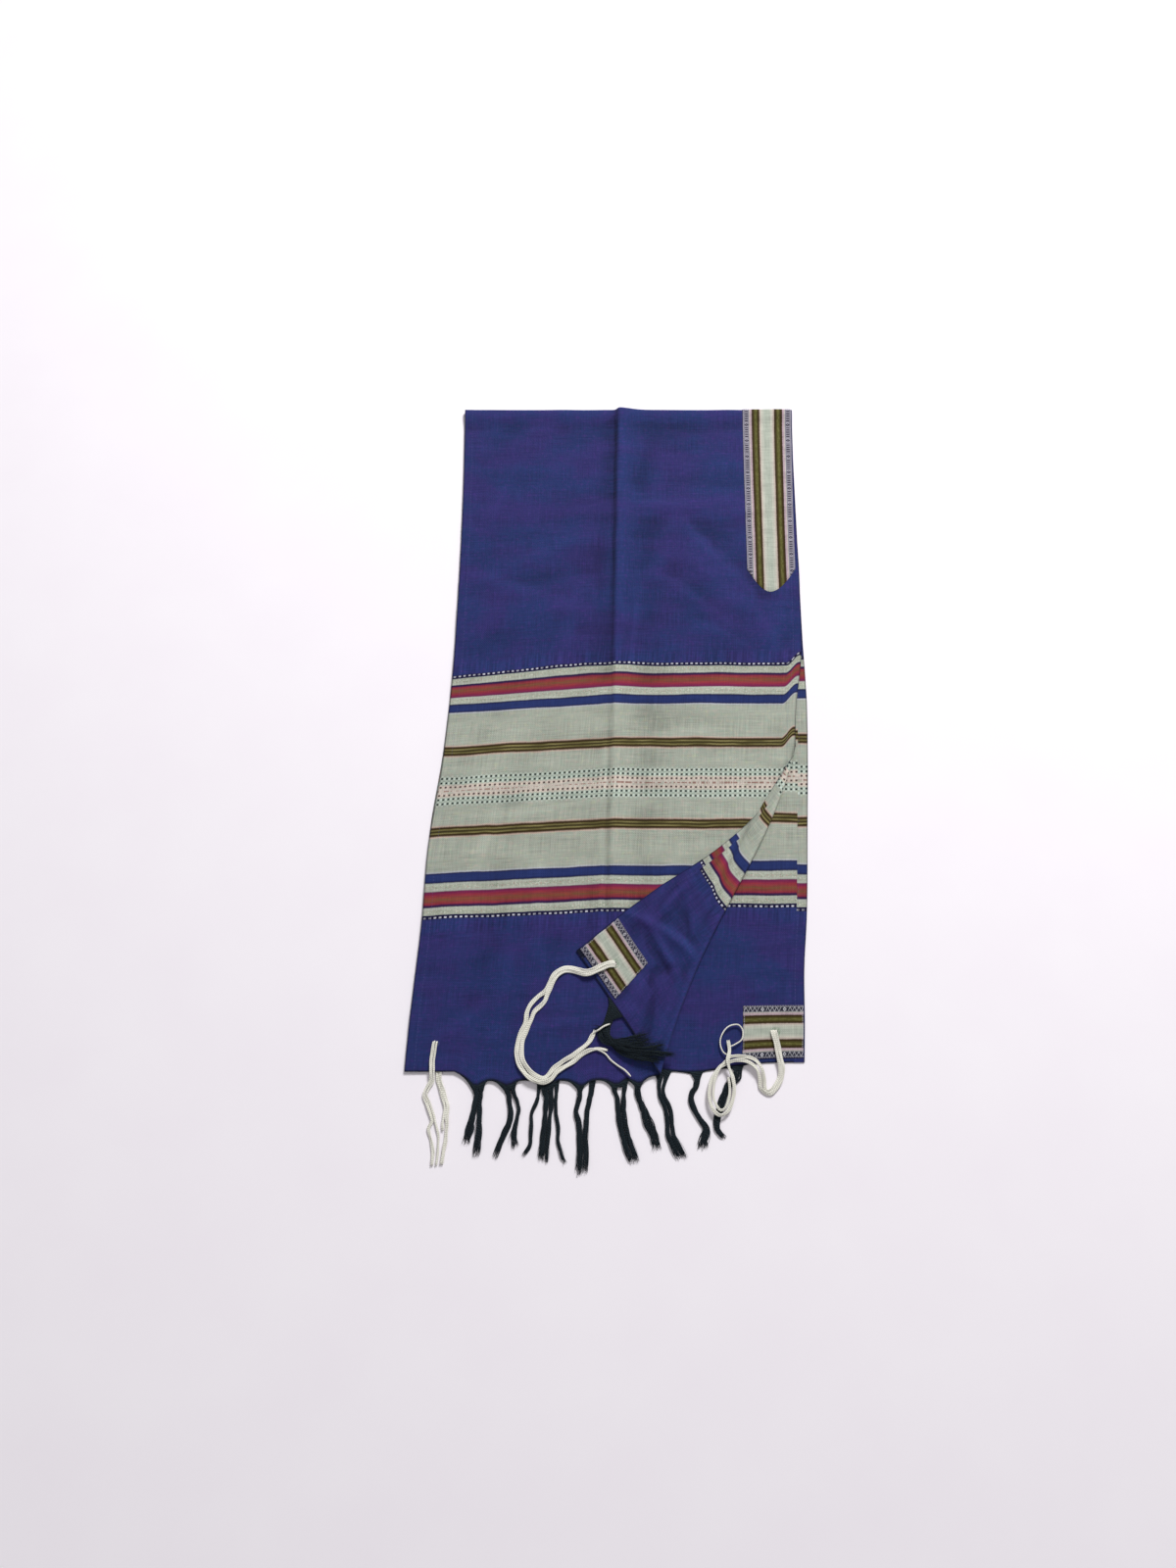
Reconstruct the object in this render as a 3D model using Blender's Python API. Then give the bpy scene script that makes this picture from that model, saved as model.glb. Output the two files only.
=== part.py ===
"""A fringed prayer shawl, folded once across its length and laid flat on a surface.

The lower half rests on the surface, the cloth turns over at the far end, and the upper half lies
on it. One corner of the upper half is turned over to the left and shows its other side. The
neckband lies along the right edge at the fold, a patch is sewn to each of the two corners that
show, twisted fringe hangs from the near edges, and white cords pass through the corners.

Sizes in the tables are millimetres. Cloth positions are given by two distances: "across", from the
left edge to the neck edge, and "along", from the far fold to the fringed edge. Table positions x and
y are measured on the resting surface, and the whole is moved to the middle of its box at the end.
"""
import bmesh
import bpy
import numpy as np

MM = 0.001

# Main sizes of the cloth.
WIDTH = 462.0
HALF_LENGTH = 914.0
WALL = 1.2
LAYER_GAP = 0.4
FOLD_RADIUS = 2.4
FOLD_SETTLE = 30.0
OPEN_HEM = 20.0
PIECE_GAP = 0.35
PATCH_WALL = 0.9

# The middle of the finished box, taken off every position.
MIDDLE_X = 37.65
MIDDLE_Y = 47.796

# Where the far fold lies and how much one distance along the cloth measures on the surface.
FOLD_Y = 559.5
LENGTH_RATE = 1.0015

# How the two halves lie: distance along, x of the left edge, x of the upper right edge,
# x of the lower right edge, sag of the upper left part, shift of the lower half to the far side.
LIE_COLUMNS = ("along", "left", "upper_right", "lower_right", "sag", "lower_shift")
LIE = np.array([
    (0, -173.9, 288.3, 287.3, 0, 0),
    (130, -172.1, 284.5, 285.5, 4, 4),
    (283, -173.3, 283.0, 283.5, 10, 10),
    (384, -176.1, 279.0, 282.5, 15, 15),
    (454, -179.7, 268.5, 283.0, 13.5, 13),
    (520, -184.7, 263.5, 280.0, 13, 10),
    (627, -197.4, 259.0, 273.0, 12, 8),
    (739, -201.8, 255.0, 265.0, 9, 6),
    (799, -206.1, 253.0, 258.5, 4, 7),
    (868, -210.8, 251.0, 255.0, 1.5, 9),
    (914, -213.0, 250.0, 252.0, 0, 11),
])

# The near edge of the upper half hangs lower where it is fringed: drop by distance across.
EDGE_DROP = np.array([(58, 0.0), (80, 7.8), (215, 7.8), (293, 4.5)])
EDGE_DROP_START = 850.0

# The near edge of the lower half dips between its fringe and the turned corner.
NEAR_DIP = 11.0
NEAR_DIP_START = 820.0
NEAR_DIP_SHARE = 0.71
NEAR_DIP_WIDTH = 0.12

# The turned corner: where its fold leaves the neck edge and where it meets the fringed edge.
TURN_START_ALONG = 500.0
TURN_END_ACROSS = 293.0
TURN_BOW = 10.0
CORNER_PULL = np.array([14.0, 27.0])
NECK_BOW = 95.0
NECK_BOW_WAY = np.array([0.73, -0.68])
NECK_BOW_LIMIT = 0.5

# The pressed crease: its x at the far fold, its lean, and its height by y.
CREASE_X = 44.5
CREASE_LEAN = 0.0217
CREASE_STEEP_SIDE = 5.0
CREASE_SOFT_SIDE = 26.0
CREASE_HEIGHT = np.array([(-360, 0.0), (-205, 0.2), (-120, 3.0), (0, 5.0), (300, 5.5), (560, 4.5)])

# Soft swells of the upper half: x, y, direction in degrees, half length, half width, height.
UPPER_SWELLS = np.array([
    (140, 410, 2, 95, 16, 1.8),
    (170, 290, -52, 85, 18, 2.0),
    (255, 250, 75, 90, 16, 2.4),
    (-80, 250, 12, 110, 26, 1.6),
    (-120, 30, 62, 90, 24, 1.6),
    (-155, -190, 70, 55, 24, 1.6),
    (160, 130, 4, 90, 22, 1.2),
])
CORNER_SWELLS = np.array([
    (150, -60, 52, 100, 13, 3.2),
    (128, -190, 66, 75, 12, 2.6),
    (205, -15, 50, 50, 11, 2.0),
])

# Spacing of the rows and columns of the cloth.
ROW_STEP = 15.0
FOLD_STEPS = 6
COLUMNS_LEFT = (0, 8, 20, 45, 58, 69, 80, 105, 135, 162, 184, 200, 209, 214)
COLUMNS_AT_CREASE = (218, 222, 228, 237)
COLUMNS_RIGHT = 8
TURN_COLUMNS = (-9.0, 0.0, 0.2, 0.4, 0.6, 0.8, 1.0)
FLAP_COLUMNS = (5.0, 13.0, 24.0)
FLAP_STEP = 19.0
LOWER_STEP = 60.0
LOWER_NEAR_STEP = 16.0

# The neckband: distance along, left and right edge measured from the neck edge.
BAND = np.array([(0, 70.0, 1.0), (130, 69.5, 2.0), (253, 70.5, 5.0)])
BAND_SIDE_END = 253.0
BAND_POINT = np.array([(0, 0), (0.16, 17), (0.38, 32), (0.5, 34), (0.62, 31), (0.84, 16), (1, 0)])
BAND_COLUMNS = 6
BAND_ROWS = 18

# Corner patches: size across, size along, distance from the neck edge and the fringed edge.
PATCH_ACROSS = 71.0
PATCH_ALONG = 64.0
PATCH_FROM_NECK = 1.5
PATCH_FROM_FRINGE = 5.0

# Fringe: a narrow woven strip parted from the cloth's edge, with twisted yarns from its teeth.
STRIP_GAP = 0.3
STRIP_WALL = 1.0
TOOTH_DEPTH = 7.0
NOTCH_DEPTH = 3.5
NOTCH_REACH = 9.0
YARN_HALF_HEIGHT = 1.2
YARN_CLEAR = 0.25
TIP_SHARE = 0.85

# Each yarn bundle: where it leaves the edge (distance across), its half width there, and the
# points it passes, as x, y and half width. Where it slips beneath the upper half's edge, or lies on
# the cloth, its points are x, y, z and half width.
UPPER_STRIP_ENDS = (56, 286)
UPPER_YARNS = (
    (82, 2.9, ((-129.5, -380, 2.6), (-131, -396, 2.7), (-134, -415, 4.0), (-139.5, -436, 4.8))),
    (89.5, 2.9, ((-123.7, -380, 2.4), (-124.7, -396, 2.6), (-124.7, -417, 3.2), (-126.5, -450, 3.8))),
    (117.5, 3.0, ((-93, -379, 2.9), (-90.5, -392, 2.7), (-89, -409, 2.6), (-95.5, -425, 3.6),
                  (-106, -452, 3.2))),
    (125, 2.6, ((-86.3, -379, 2.2), (-82, -389, 1.9), (-79.5, -400, 1.9), (-82, -412, 2.0),
                (-84.7, -425, 3.3), (-84.2, -441, 3.8))),
    (162, 3.4, ((-49.2, -380, 3.1), (-48.4, -396, 2.6), (-50, -415, 2.6), (-52, -437, 2.7),
                (-53, -455, 3.0))),
    (169.5, 2.8, ((-42.6, -380, 2.5), (-42.6, -396, 2.2), (-44.3, -415, 2.0), (-46.2, -437, 2.2),
                  (-47, -456, 1.8))),
    (203.5, 2.9, ((-9.5, -378, 2.7), (-10.5, -388, 2.6), (-13.5, -401, 2.6), (-10.5, -414, 2.7),
                  (-9.6, -428, 3.2), (-9.6, -450, 3.2), (-10.6, -469, 3.4))),
    (243.5, 2.8, ((30.7, -378, 2.6), (34, -388, 2.7), (34.8, -404, 2.7), (38.2, -422, 2.7),
                  (43, -439, 2.8), (49, -457, 2.9))),
    (254, 2.6, ((42, -376, 2.4), (40.7, -388, 2.5), (41, -404, 2.6), (44.5, -422, 2.6),
                (49.6, -439, 2.7), (55.8, -456, 2.8))),
    (270.5, 3.4, ((57.5, -380, 3.2), (61.5, -393, 3.8), (68, -411, 4.9), (75.5, -428, 5.4),
                  (79, -443, 4.4))),
)
LOWER_STRIP_ENDS = (62, 402)
LOWER_YARNS = (
    (155, 1.8, ((-57, -377, 0.7, 1.8), (-59, -389, 1.4, 1.8), (-64.5, -403, 1.4, 1.8),
                (-65, -420, 1.4, 1.7), (-66, -437, 1.4, 1.8), (-73.5, -449, 1.4, 2.0))),
    (175, 1.8, ((-36.5, -377, 0.7, 1.8), (-37, -389, 1.4, 1.8), (-36.5, -404, 1.4, 1.8),
                (-34.5, -418, 1.4, 1.8), (-34, -434, 1.4, 1.8), (-30.5, -447, 1.4, 1.9),
                (-26.5, -457, 1.4, 2.0))),
    (217, 2.8, ((4, -377, 0.7, 2.8), (1.5, -389, 1.4, 2.7), (-1, -404, 1.4, 2.7),
                (-2.5, -420, 1.4, 2.7), (-2.5, -441, 1.4, 2.9), (-3.2, -468, 1.4, 2.9))),
    (296.5, 2.1, ((82, -374, 2.0), (83.3, -385, 1.9), (88.7, -397, 1.9), (90.7, -413, 2.1),
                  (91, -427, 2.5), (97.5, -441, 2.8), (103, -452, 2.8))),
    (302, 2.1, ((87, -374, 2.0), (88.3, -385, 1.9), (94, -397, 1.9), (96, -413, 2.1),
                (97.3, -427, 2.4), (104.5, -441, 2.6), (110, -451, 2.6))),
    (338.5, 3.6, ((124.5, -372, 3.3), (120, -380, 3.0), (119, -390, 2.9), (124, -402, 3.0),
                  (130.5, -412, 3.2), (134.5, -421, 4.0), (131.5, -432, 5.0), (128.5, -442, 6.2))),
    (386, 6.0, ((171, -361, 5.6), (162.5, -371, 4.2), (156.5, -383, 4.2), (153.5, -395, 4.6),
                (148.5, -407, 4.0), (147.5, -418, 3.4), (151.5, -426, 2.8), (155, -430, 2.4))),
)
# The yarns of the turned corner lie on the cloth.
TURNED_STRIP_ENDS = (388, 330)
TURNED_YARNS = (
    (386, 1.8, ((22, -289, 5.0, 1.9), (15, -301, 5.0, 1.9), (12, -313, 5.0, 1.7))),
    (378, 1.8, ((29, -296, 5.0, 1.9), (22, -309, 5.6, 1.9), (26, -318, 7.2, 1.9), (36, -321, 8.2, 1.9),
                (50, -322, 9.5, 1.9), (88, -324, 11.5, 1.8))),
    (364, 1.8, ((38, -311, 5.0, 1.9), (34, -321, 5.0, 1.9), (39, -331, 5.4, 1.9),
                (62, -334, 9.5, 1.9), (98, -338, 11.5, 1.8))),
)

# White corner cords: two strands side by side that part at the end of the shared stretch.
CORD_HALF_WIDTH = 1.6
CORD_HALF_HEIGHT = 1.2
CORDS = {
    "corner_cord_left": (
        ((-178.5, -323, 4.6), (-180.5, -341, 4.6), (-180.5, -355, 4.6), (-180.5, -366, 2.4),
         (-184.5, -373, 1.5), (-187.5, -382, 1.5), (-183.5, -392, 1.5), (-179, -403, 1.5),
         (-177, -411, 1.5)),
        ((-182, -419, 1.5), (-180.5, -427, 1.5), (-177.5, -436, 1.5), (-176, -447, 1.5),
         (-176.5, -460, 1.5)),
        ((-172.5, -419, 1.5), (-170.5, -428, 1.5), (-170.5, -444, 1.5), (-171.5, -460, 1.5)),
    ),
    "corner_cord_under": (
        ((-174, -353, 0.8), (-173, -364, 0.8), (-170, -374, 1.5), (-166, -385, 1.5),
         (-163, -395, 1.5), (-163.5, -405, 1.5)),
        ((-166.5, -414, 1.5), (-165.8, -422, 1.5)),
        ((-161.5, -416, 1.5), (-162, -430, 1.5), (-164, -445, 1.5), (-166, -459, 1.5)),
    ),
    "corner_cord_turned": (
        ((25.5, -230, 7.9), (11.5, -237, 7.9), (3.5, -240, 7.8), (-4.5, -241, 7.0),
         (-11.5, -239, 5.2), (-20, -236.5, 4.6), (-29, -237, 4.6), (-38, -243, 4.6),
         (-44, -253, 4.6), (-48.5, -263, 4.6)),
        ((-59, -269, 4.6), (-67, -277.5, 4.6), (-71.5, -287.5, 4.6), (-73.5, -299, 4.6),
         (-78, -310.5, 4.6), (-82, -322, 4.6), (-83, -335.5, 4.6), (-79.5, -349, 4.8),
         (-72, -359, 5.2), (-62, -366, 5.6), (-52, -368.5, 5.8), (-43, -364.5, 5.2),
         (-36.5, -357, 4.8), (-26, -350, 4.6), (-15, -343, 4.6), (-3.5, -334, 4.6),
         (7, -331.5, 4.6), (18, -336.5, 4.6), (26, -344, 4.6), (34, -351, 4.6), (42, -356, 5.0),
         (48.5, -363, 5.4)),
        ((-50.5, -273.5, 4.6), (-56.5, -280.5, 4.6), (-63.5, -288, 4.6), (-67.5, -298, 4.6),
         (-72.5, -309.5, 4.6), (-76.5, -322, 4.6), (-77.5, -334, 4.6), (-74.5, -345.5, 4.6),
         (-67.5, -355, 4.8), (-60, -361, 5.2), (-52, -363.3, 5.2), (-45.5, -359.5, 4.8),
         (-38.5, -351, 4.6), (-28.5, -344, 4.6), (-17, -337, 4.6), (-6, -328.5, 4.6),
         (1.5, -322, 4.6), (5, -315, 4.6)),
    ),
    "corner_cord_right": (
        ((218, -310.5, 4.2), (220.5, -325, 4.2), (223, -341, 4.2), (224.5, -352, 3.6),
         (222.5, -364, 1.8), (216, -374, 1.6), (208, -379.5, 1.6)),
        ((204, -373, 1.6), (204, -364, 2.2), (201.5, -353, 4.8), (196, -344.5, 5.2),
         (187.5, -340, 5.2), (177, -338.5, 5.2), (166, -339, 5.2), (157.5, -335.5, 5.0),
         (153.5, -327, 4.6), (154, -316, 4.6), (160.5, -306.5, 4.6), (169, -301, 4.6),
         (177.5, -301.5, 4.8), (182.5, -309.5, 5.0), (180.5, -320, 5.0), (171.5, -326.5, 4.6),
         (163, -329, 4.6)),
        ((199.5, -375, 1.6), (199, -365, 2.4), (196, -354, 4.8), (189.5, -347, 5.2),
         (180.5, -343.5, 5.2), (170.5, -343.5, 5.2), (162.5, -346, 5.2), (153.5, -350.5, 5.2),
         (145.5, -360, 5.2), (140.5, -373, 5.2), (139.5, -386, 5.2), (143, -398, 5.2),
         (151, -405, 5.2), (160, -400.5, 5.2), (166, -388.5, 5.2), (168.5, -375.5, 5.2),
         (167, -362, 5.2), (163.5, -352.5, 5.2)),
    ),
}


def smooth_table(table, column, where):
    """Values of one column, joined by cubic curves through the rows."""
    keys = table[:, 0]
    values = table[:, column]
    slopes = np.gradient(values, keys)
    where = np.clip(where, keys[0], keys[-1])
    left = np.clip(np.searchsorted(keys, where, side="right") - 1, 0, len(keys) - 2)
    step = keys[left + 1] - keys[left]
    part = (where - keys[left]) / step
    near = (1 + 2 * part) * (1 - part) ** 2 * values[left]
    far = part ** 2 * (3 - 2 * part) * values[left + 1]
    near_slope = part * (1 - part) ** 2 * step * slopes[left]
    far_slope = part ** 2 * (part - 1) * step * slopes[left + 1]
    return near + far + near_slope + far_slope


def lie(name, along):
    """One column of the table that says how the halves lie."""
    return smooth_table(LIE, LIE_COLUMNS.index(name), along)


def swell_height(swells, x, y):
    """Sum of long soft mounds, each falling off smoothly to its sides and ends."""
    height = np.zeros_like(x)
    for centre_x, centre_y, turn, half_length, half_width, top in swells:
        angle = np.radians(turn)
        lengthwise = (x - centre_x) * np.cos(angle) + (y - centre_y) * np.sin(angle)
        sideways = (y - centre_y) * np.cos(angle) - (x - centre_x) * np.sin(angle)
        height += top * np.exp(-(lengthwise / half_length) ** 2 - (sideways / half_width) ** 2)
    return height


def crease_height(x, y):
    """A pressed ridge, steep on its left and soft on its right."""
    off = x - (CREASE_X - CREASE_LEAN * (FOLD_Y - y))
    reach = np.where(off < 0, CREASE_STEEP_SIDE, CREASE_SOFT_SIDE)
    return np.interp(y, CREASE_HEIGHT[:, 0], CREASE_HEIGHT[:, 1]) * np.exp(-(off / reach) ** 2)


def settle(distance):
    """Goes from one at a fold to nothing where the cloth has come to rest."""
    part = np.clip(distance / FOLD_SETTLE, 0, 1)
    return (1 - part) ** 2 * (1 + 2 * part)


def upper_middle_height(x, y, along):
    """Height of the middle of the upper cloth: over the lower one, higher at the far fold."""
    flat = 1.5 * WALL + LAYER_GAP
    at_fold = 0.5 * WALL + 2 * FOLD_RADIUS
    relief = swell_height(UPPER_SWELLS, x, y) + crease_height(x, y)
    return flat + (at_fold - flat) * settle(along) + relief


def upper_plan(across, along):
    """Place on the surface of a point of the upper half, as if no corner were turned."""
    left = lie("left", along)
    share = across / WIDTH
    x = left + share * (lie("upper_right", along) - left)
    left_part = np.clip(1 - share * WIDTH / COLUMNS_AT_CREASE[0], 0, 1)
    near_end = np.clip((along - EDGE_DROP_START) / (HALF_LENGTH - EDGE_DROP_START), 0, 1)
    drop = np.interp(across, EDGE_DROP[:, 0], EDGE_DROP[:, 1]) * near_end ** 2
    y = FOLD_Y - LENGTH_RATE * along - lie("sag", along) * left_part - drop
    return x, y


def lower_plan(across, along):
    """Place on the surface of a point of the lower half, a little inside the upper left edge."""
    left = lie("left", along) + 1.2
    x = left + across / WIDTH * (lie("lower_right", along) - left)
    near_end = np.clip((along - NEAR_DIP_START) / (HALF_LENGTH - NEAR_DIP_START), 0, 1)
    dip = NEAR_DIP * near_end * np.exp(-((across / WIDTH - NEAR_DIP_SHARE) / NEAR_DIP_WIDTH) ** 2)
    y = FOLD_Y - LENGTH_RATE * along + lie("lower_shift", along) - dip
    return x, y


TURN_SLOPE = (WIDTH - TURN_END_ACROSS) / (HALF_LENGTH - TURN_START_ALONG)
TURN_ANGLE = np.arctan(TURN_SLOPE)


def turn_line(along):
    """Distance across of the fold of the turned corner: a slanted line with a slight bow."""
    part = np.clip((along - TURN_START_ALONG) / (HALF_LENGTH - TURN_START_ALONG), 0, 1)
    bow = TURN_BOW * np.sin(2 * np.pi * part) * (1 - 0.4 * part)
    return WIDTH - TURN_SLOPE * (along - TURN_START_ALONG) + bow


def past_turn(across, along):
    """Distance beyond the fold of the turned corner, square to it."""
    return (across - turn_line(along)) * np.cos(TURN_ANGLE)


def drawn_in(across, along, laid):
    """How far the turned corner is drawn in, since its cloth isn't pulled quite flat.

    The corner itself moves by CORNER_PULL, and the neck edge bows back towards the slanted fold,
    by no more than a share of its distance from that fold.
    """
    fringe_share = np.clip((along - TURN_START_ALONG) / (HALF_LENGTH - TURN_START_ALONG), 0, 1)
    off_line = past_turn(across, along) / np.cos(TURN_ANGLE)
    corner = np.clip(off_line / (WIDTH - TURN_END_ACROSS), 0, 1)
    to_neck = np.clip(corner / np.maximum(fringe_share, 0.05), 0, 1)
    bow = NECK_BOW * corner ** 0.6 * (1 - fringe_share) * to_neck
    limit = NECK_BOW_LIMIT * laid + 0.001
    bow = limit * np.tanh(bow / limit)
    return corner[..., None] * CORNER_PULL + bow[..., None] * NECK_BOW_WAY


def upper_point(across, along):
    """Middle of the upper cloth: flat, then round the slanted fold, then back over itself."""
    across, along = np.broadcast_arrays(np.asarray(across, float), np.asarray(along, float))
    beyond = past_turn(across, along)
    angle = np.clip(beyond / FOLD_RADIUS, 0, np.pi)
    laid = np.maximum(beyond - np.pi * FOLD_RADIUS, 0)
    reach = FOLD_RADIUS * np.sin(angle) - laid
    back = np.where(beyond > 0, beyond - reach, 0)
    flat_across = across - back * np.cos(TURN_ANGLE)
    flat_along = along - back * np.sin(TURN_ANGLE)
    x, y = upper_plan(flat_across, flat_along)
    drawn = drawn_in(across, along, laid) * np.clip(laid / FOLD_SETTLE, 0, 1)[..., None]
    x = x + drawn[..., 0]
    y = y + drawn[..., 1]
    z = upper_middle_height(x, y, flat_along)
    over = WALL + LAYER_GAP + 0.2
    lift = over + (2 * FOLD_RADIUS - over) * settle(laid)
    z = z + np.where(laid > 0, lift, FOLD_RADIUS * (1 - np.cos(angle)))
    z = z + swell_height(CORNER_SWELLS, x, y) * np.clip(laid / FOLD_SETTLE, 0, 1)
    return np.stack([x, y, z], axis=-1)


def lower_point(across, along):
    """Middle of the lower cloth, flat on the surface."""
    across, along = np.broadcast_arrays(np.asarray(across, float), np.asarray(along, float))
    x, y = lower_plan(across, along)
    return np.stack([x, y, np.full_like(x, 0.5 * WALL)], axis=-1)


def fold_point(across, angle):
    """Middle of the cloth round the far fold: a half circle from the lower to the upper cloth."""
    low = lower_point(across, 0.0)
    high = upper_point(across, 0.0)
    middle = (low + high) / 2
    radius = (high[..., 2] - low[..., 2]) / 2
    out = np.stack([np.zeros_like(radius), np.sin(angle) * radius, -np.cos(angle) * radius], axis=-1)
    lean = np.cos(angle) * (low - middle) * np.array([1.0, 1.0, 0.0])
    return middle + out + lean


def upper_normal(across, along):
    """Square to the upper cloth, up where it lies flat, down where the corner is turned."""
    step = 0.2
    run_across = upper_point(across + step, along) - upper_point(across - step, along)
    run_along = upper_point(across, along + step) - upper_point(across, along - step)
    square = np.cross(run_along, run_across)
    return square / np.linalg.norm(square, axis=-1, keepdims=True)


def first_columns(along):
    """Distances across that both halves share, ending short of the neck edge or the slanted fold."""
    last = min(turn_line(np.array(along)), WIDTH) - OPEN_HEM
    start = COLUMNS_AT_CREASE[-1]
    right = start + (last - start) * np.arange(1, COLUMNS_RIGHT + 1) / COLUMNS_RIGHT
    return list(COLUMNS_LEFT) + list(COLUMNS_AT_CREASE) + list(right)


def upper_last_columns(along):
    """Distances across of the upper half beyond the shared columns, round the slanted fold."""
    line = float(turn_line(np.array(along)))
    start = min(line, WIDTH) - OPEN_HEM
    round_fold = [TURN_COLUMNS[0]]
    round_fold += [share * np.pi * FOLD_RADIUS for share in TURN_COLUMNS[1:]]
    round_fold += [np.pi * FOLD_RADIUS + extra for extra in FLAP_COLUMNS]
    places = [line + off / np.cos(TURN_ANGLE) for off in round_fold]
    rest = WIDTH - places[-1]
    count = max(int(np.ceil(rest / FLAP_STEP)), 1)
    if rest > 0:
        places += [places[-1] + rest * k / count for k in range(1, count)]
    if line - WIDTH > OPEN_HEM:
        places = [WIDTH - OPEN_HEM / 2]
    kept = [place for place in places if start + 3 < place < WIDTH - 2]
    return kept + [WIDTH]


def lower_last_columns(along):
    """Distances across of the lower half beyond the shared columns."""
    start = first_columns(along)[-1]
    step = LOWER_NEAR_STEP if along > NEAR_DIP_START else LOWER_STEP
    count = max(int(round((WIDTH - start) / step)), 2)
    return [start + (WIDTH - start) * k / count for k in range(1, count + 1)]


def cloth_rows():
    """All rows of the cloth from the lower fringed edge, round the far fold, to the upper one."""
    count = int(round((HALF_LENGTH - 2 * OPEN_HEM) / ROW_STEP))
    alongs = [0.0, 5.0, 12.0]
    alongs += list(np.linspace(OPEN_HEM, HALF_LENGTH - OPEN_HEM, count + 1))
    alongs += [HALF_LENGTH - 0.5 * OPEN_HEM, HALF_LENGTH]
    rows = []
    for along in reversed(alongs):
        across = np.array(first_columns(along) + lower_last_columns(along))
        points = lower_point(across, along)
        down = np.tile([0.0, 0.0, -1.0], (len(across), 1))
        rows.append(("lower", across, points, down))
    for step in range(1, FOLD_STEPS):
        angle = np.pi * step / FOLD_STEPS
        across = np.array(first_columns(0.0) + upper_last_columns(0.0))
        points = fold_point(across, angle)
        out = np.tile([0.0, np.sin(angle), -np.cos(angle)], (len(across), 1))
        rows.append(("fold", across, points, out))
    for along in alongs:
        across = np.array(first_columns(along) + upper_last_columns(along))
        key = past_turn(across, np.array(along))
        rows.append(("upper", key, upper_point(across, along), upper_normal(across, along)))
    return rows, len(alongs)


def zip_rows(first, second, first_keys, second_keys):
    """Triangles between two rows of unequal count, stepping along both by their keys."""
    faces = []
    here = 0
    there = 0
    while here < len(first) - 1 or there < len(second) - 1:
        last_here = here == len(first) - 1
        last_there = there == len(second) - 1
        step_here = last_there or (not last_here and first_keys[here + 1] <= second_keys[there + 1])
        if step_here:
            faces.append((first[here], first[here + 1], second[there]))
            here += 1
        else:
            faces.append((first[here], second[there + 1], second[there]))
            there += 1
    return faces


def shawl_cloth():
    """The woven cloth as one closed body: open layers at the hems, joined within."""
    rows, half_count = cloth_rows()
    shared = len(first_columns(0.0))
    inner_start = COLUMNS_LEFT.index(OPEN_HEM)
    points = []
    outer = []
    inner = []
    for _, _, middle, square in rows:
        outer.append(list(range(len(points), len(points) + len(middle))))
        points.extend(middle + 0.5 * WALL * square)
        inner.append(list(range(len(points), len(points) + len(middle))))
        points.extend(middle - 0.5 * WALL * square)
    first_joined = 2
    last_joined = len(rows) - 1 - first_joined
    faces = []
    for row in range(len(rows) - 1):
        keys = rows[row][1][shared - 1:]
        next_keys = rows[row + 1][1][shared - 1:]
        if rows[row][0] != rows[row + 1][0]:
            keys = np.linspace(0, 1, len(keys))
            next_keys = np.linspace(0, 1, len(next_keys))
        joined_row = first_joined <= row < last_joined
        for side in (outer, inner):
            on_surface = side is outer and rows[row + 1][0] == "lower"
            if on_surface:
                continue
            for col in range(shared - 1):
                if side is inner and joined_row and col >= inner_start:
                    continue
                faces.append((side[row][col], side[row][col + 1],
                              side[row + 1][col + 1], side[row + 1][col]))
            faces += zip_rows(side[row][shared - 1:], side[row + 1][shared - 1:], keys, next_keys)
        for col in (0, -1):
            faces.append((outer[row][col], outer[row + 1][col],
                          inner[row + 1][col], inner[row][col]))
    for row in (0, len(rows) - 1):
        for col in range(len(outer[row]) - 1):
            faces.append((outer[row][col], outer[row][col + 1],
                          inner[row][col + 1], inner[row][col]))
    # The hidden layers join here: walls from the lower to the upper inner face.
    for col in (inner_start, shared - 1):
        for row in range(first_joined, (len(rows) - 1) // 2):
            across_row = len(rows) - 1 - row
            corners = [inner[row][col], inner[row + 1][col],
                       inner[across_row - 1][col], inner[across_row][col]]
            faces.append(tuple(dict.fromkeys(corners)))
    for col in range(inner_start, shared - 1):
        faces.append((inner[first_joined][col], inner[first_joined][col + 1],
                      inner[last_joined][col + 1], inner[last_joined][col]))
    # The underside is one flat face.
    last_lower = half_count - 1
    underside = list(outer[0])
    underside += [outer[row][-1] for row in range(1, last_lower + 1)]
    underside += outer[last_lower][-2::-1]
    underside += [outer[row][0] for row in range(last_lower - 1, 0, -1)]
    faces.append(tuple(underside))
    return np.array(points), faces


def grid_faces(rows, columns, start=0):
    """Four-sided faces of a grid whose points are numbered row by row."""
    return [(start + r * columns + c, start + r * columns + c + 1,
             start + (r + 1) * columns + c + 1, start + (r + 1) * columns + c)
            for r in range(rows - 1) for c in range(columns - 1)]


def laid_piece(middle, square, gap, wall):
    """A thin piece on a panel, from the panel's points moved out along its normals."""
    rows, columns = middle.shape[:2]
    low = middle + square * gap
    high = middle + square * (gap + wall)
    points = np.concatenate([low.reshape(-1, 3), high.reshape(-1, 3)])
    count = rows * columns
    faces = grid_faces(rows, columns) + grid_faces(rows, columns, count)
    rim = [(0, c) for c in range(columns)] + [(r, columns - 1) for r in range(1, rows)]
    rim += [(rows - 1, c) for c in range(columns - 2, -1, -1)]
    rim += [(r, 0) for r in range(rows - 2, 0, -1)]
    ring = [r * columns + c for r, c in rim]
    for here, after in zip(ring, ring[1:] + ring[:1]):
        faces.append((here, after, after + count, here + count))
    return points, faces


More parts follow.
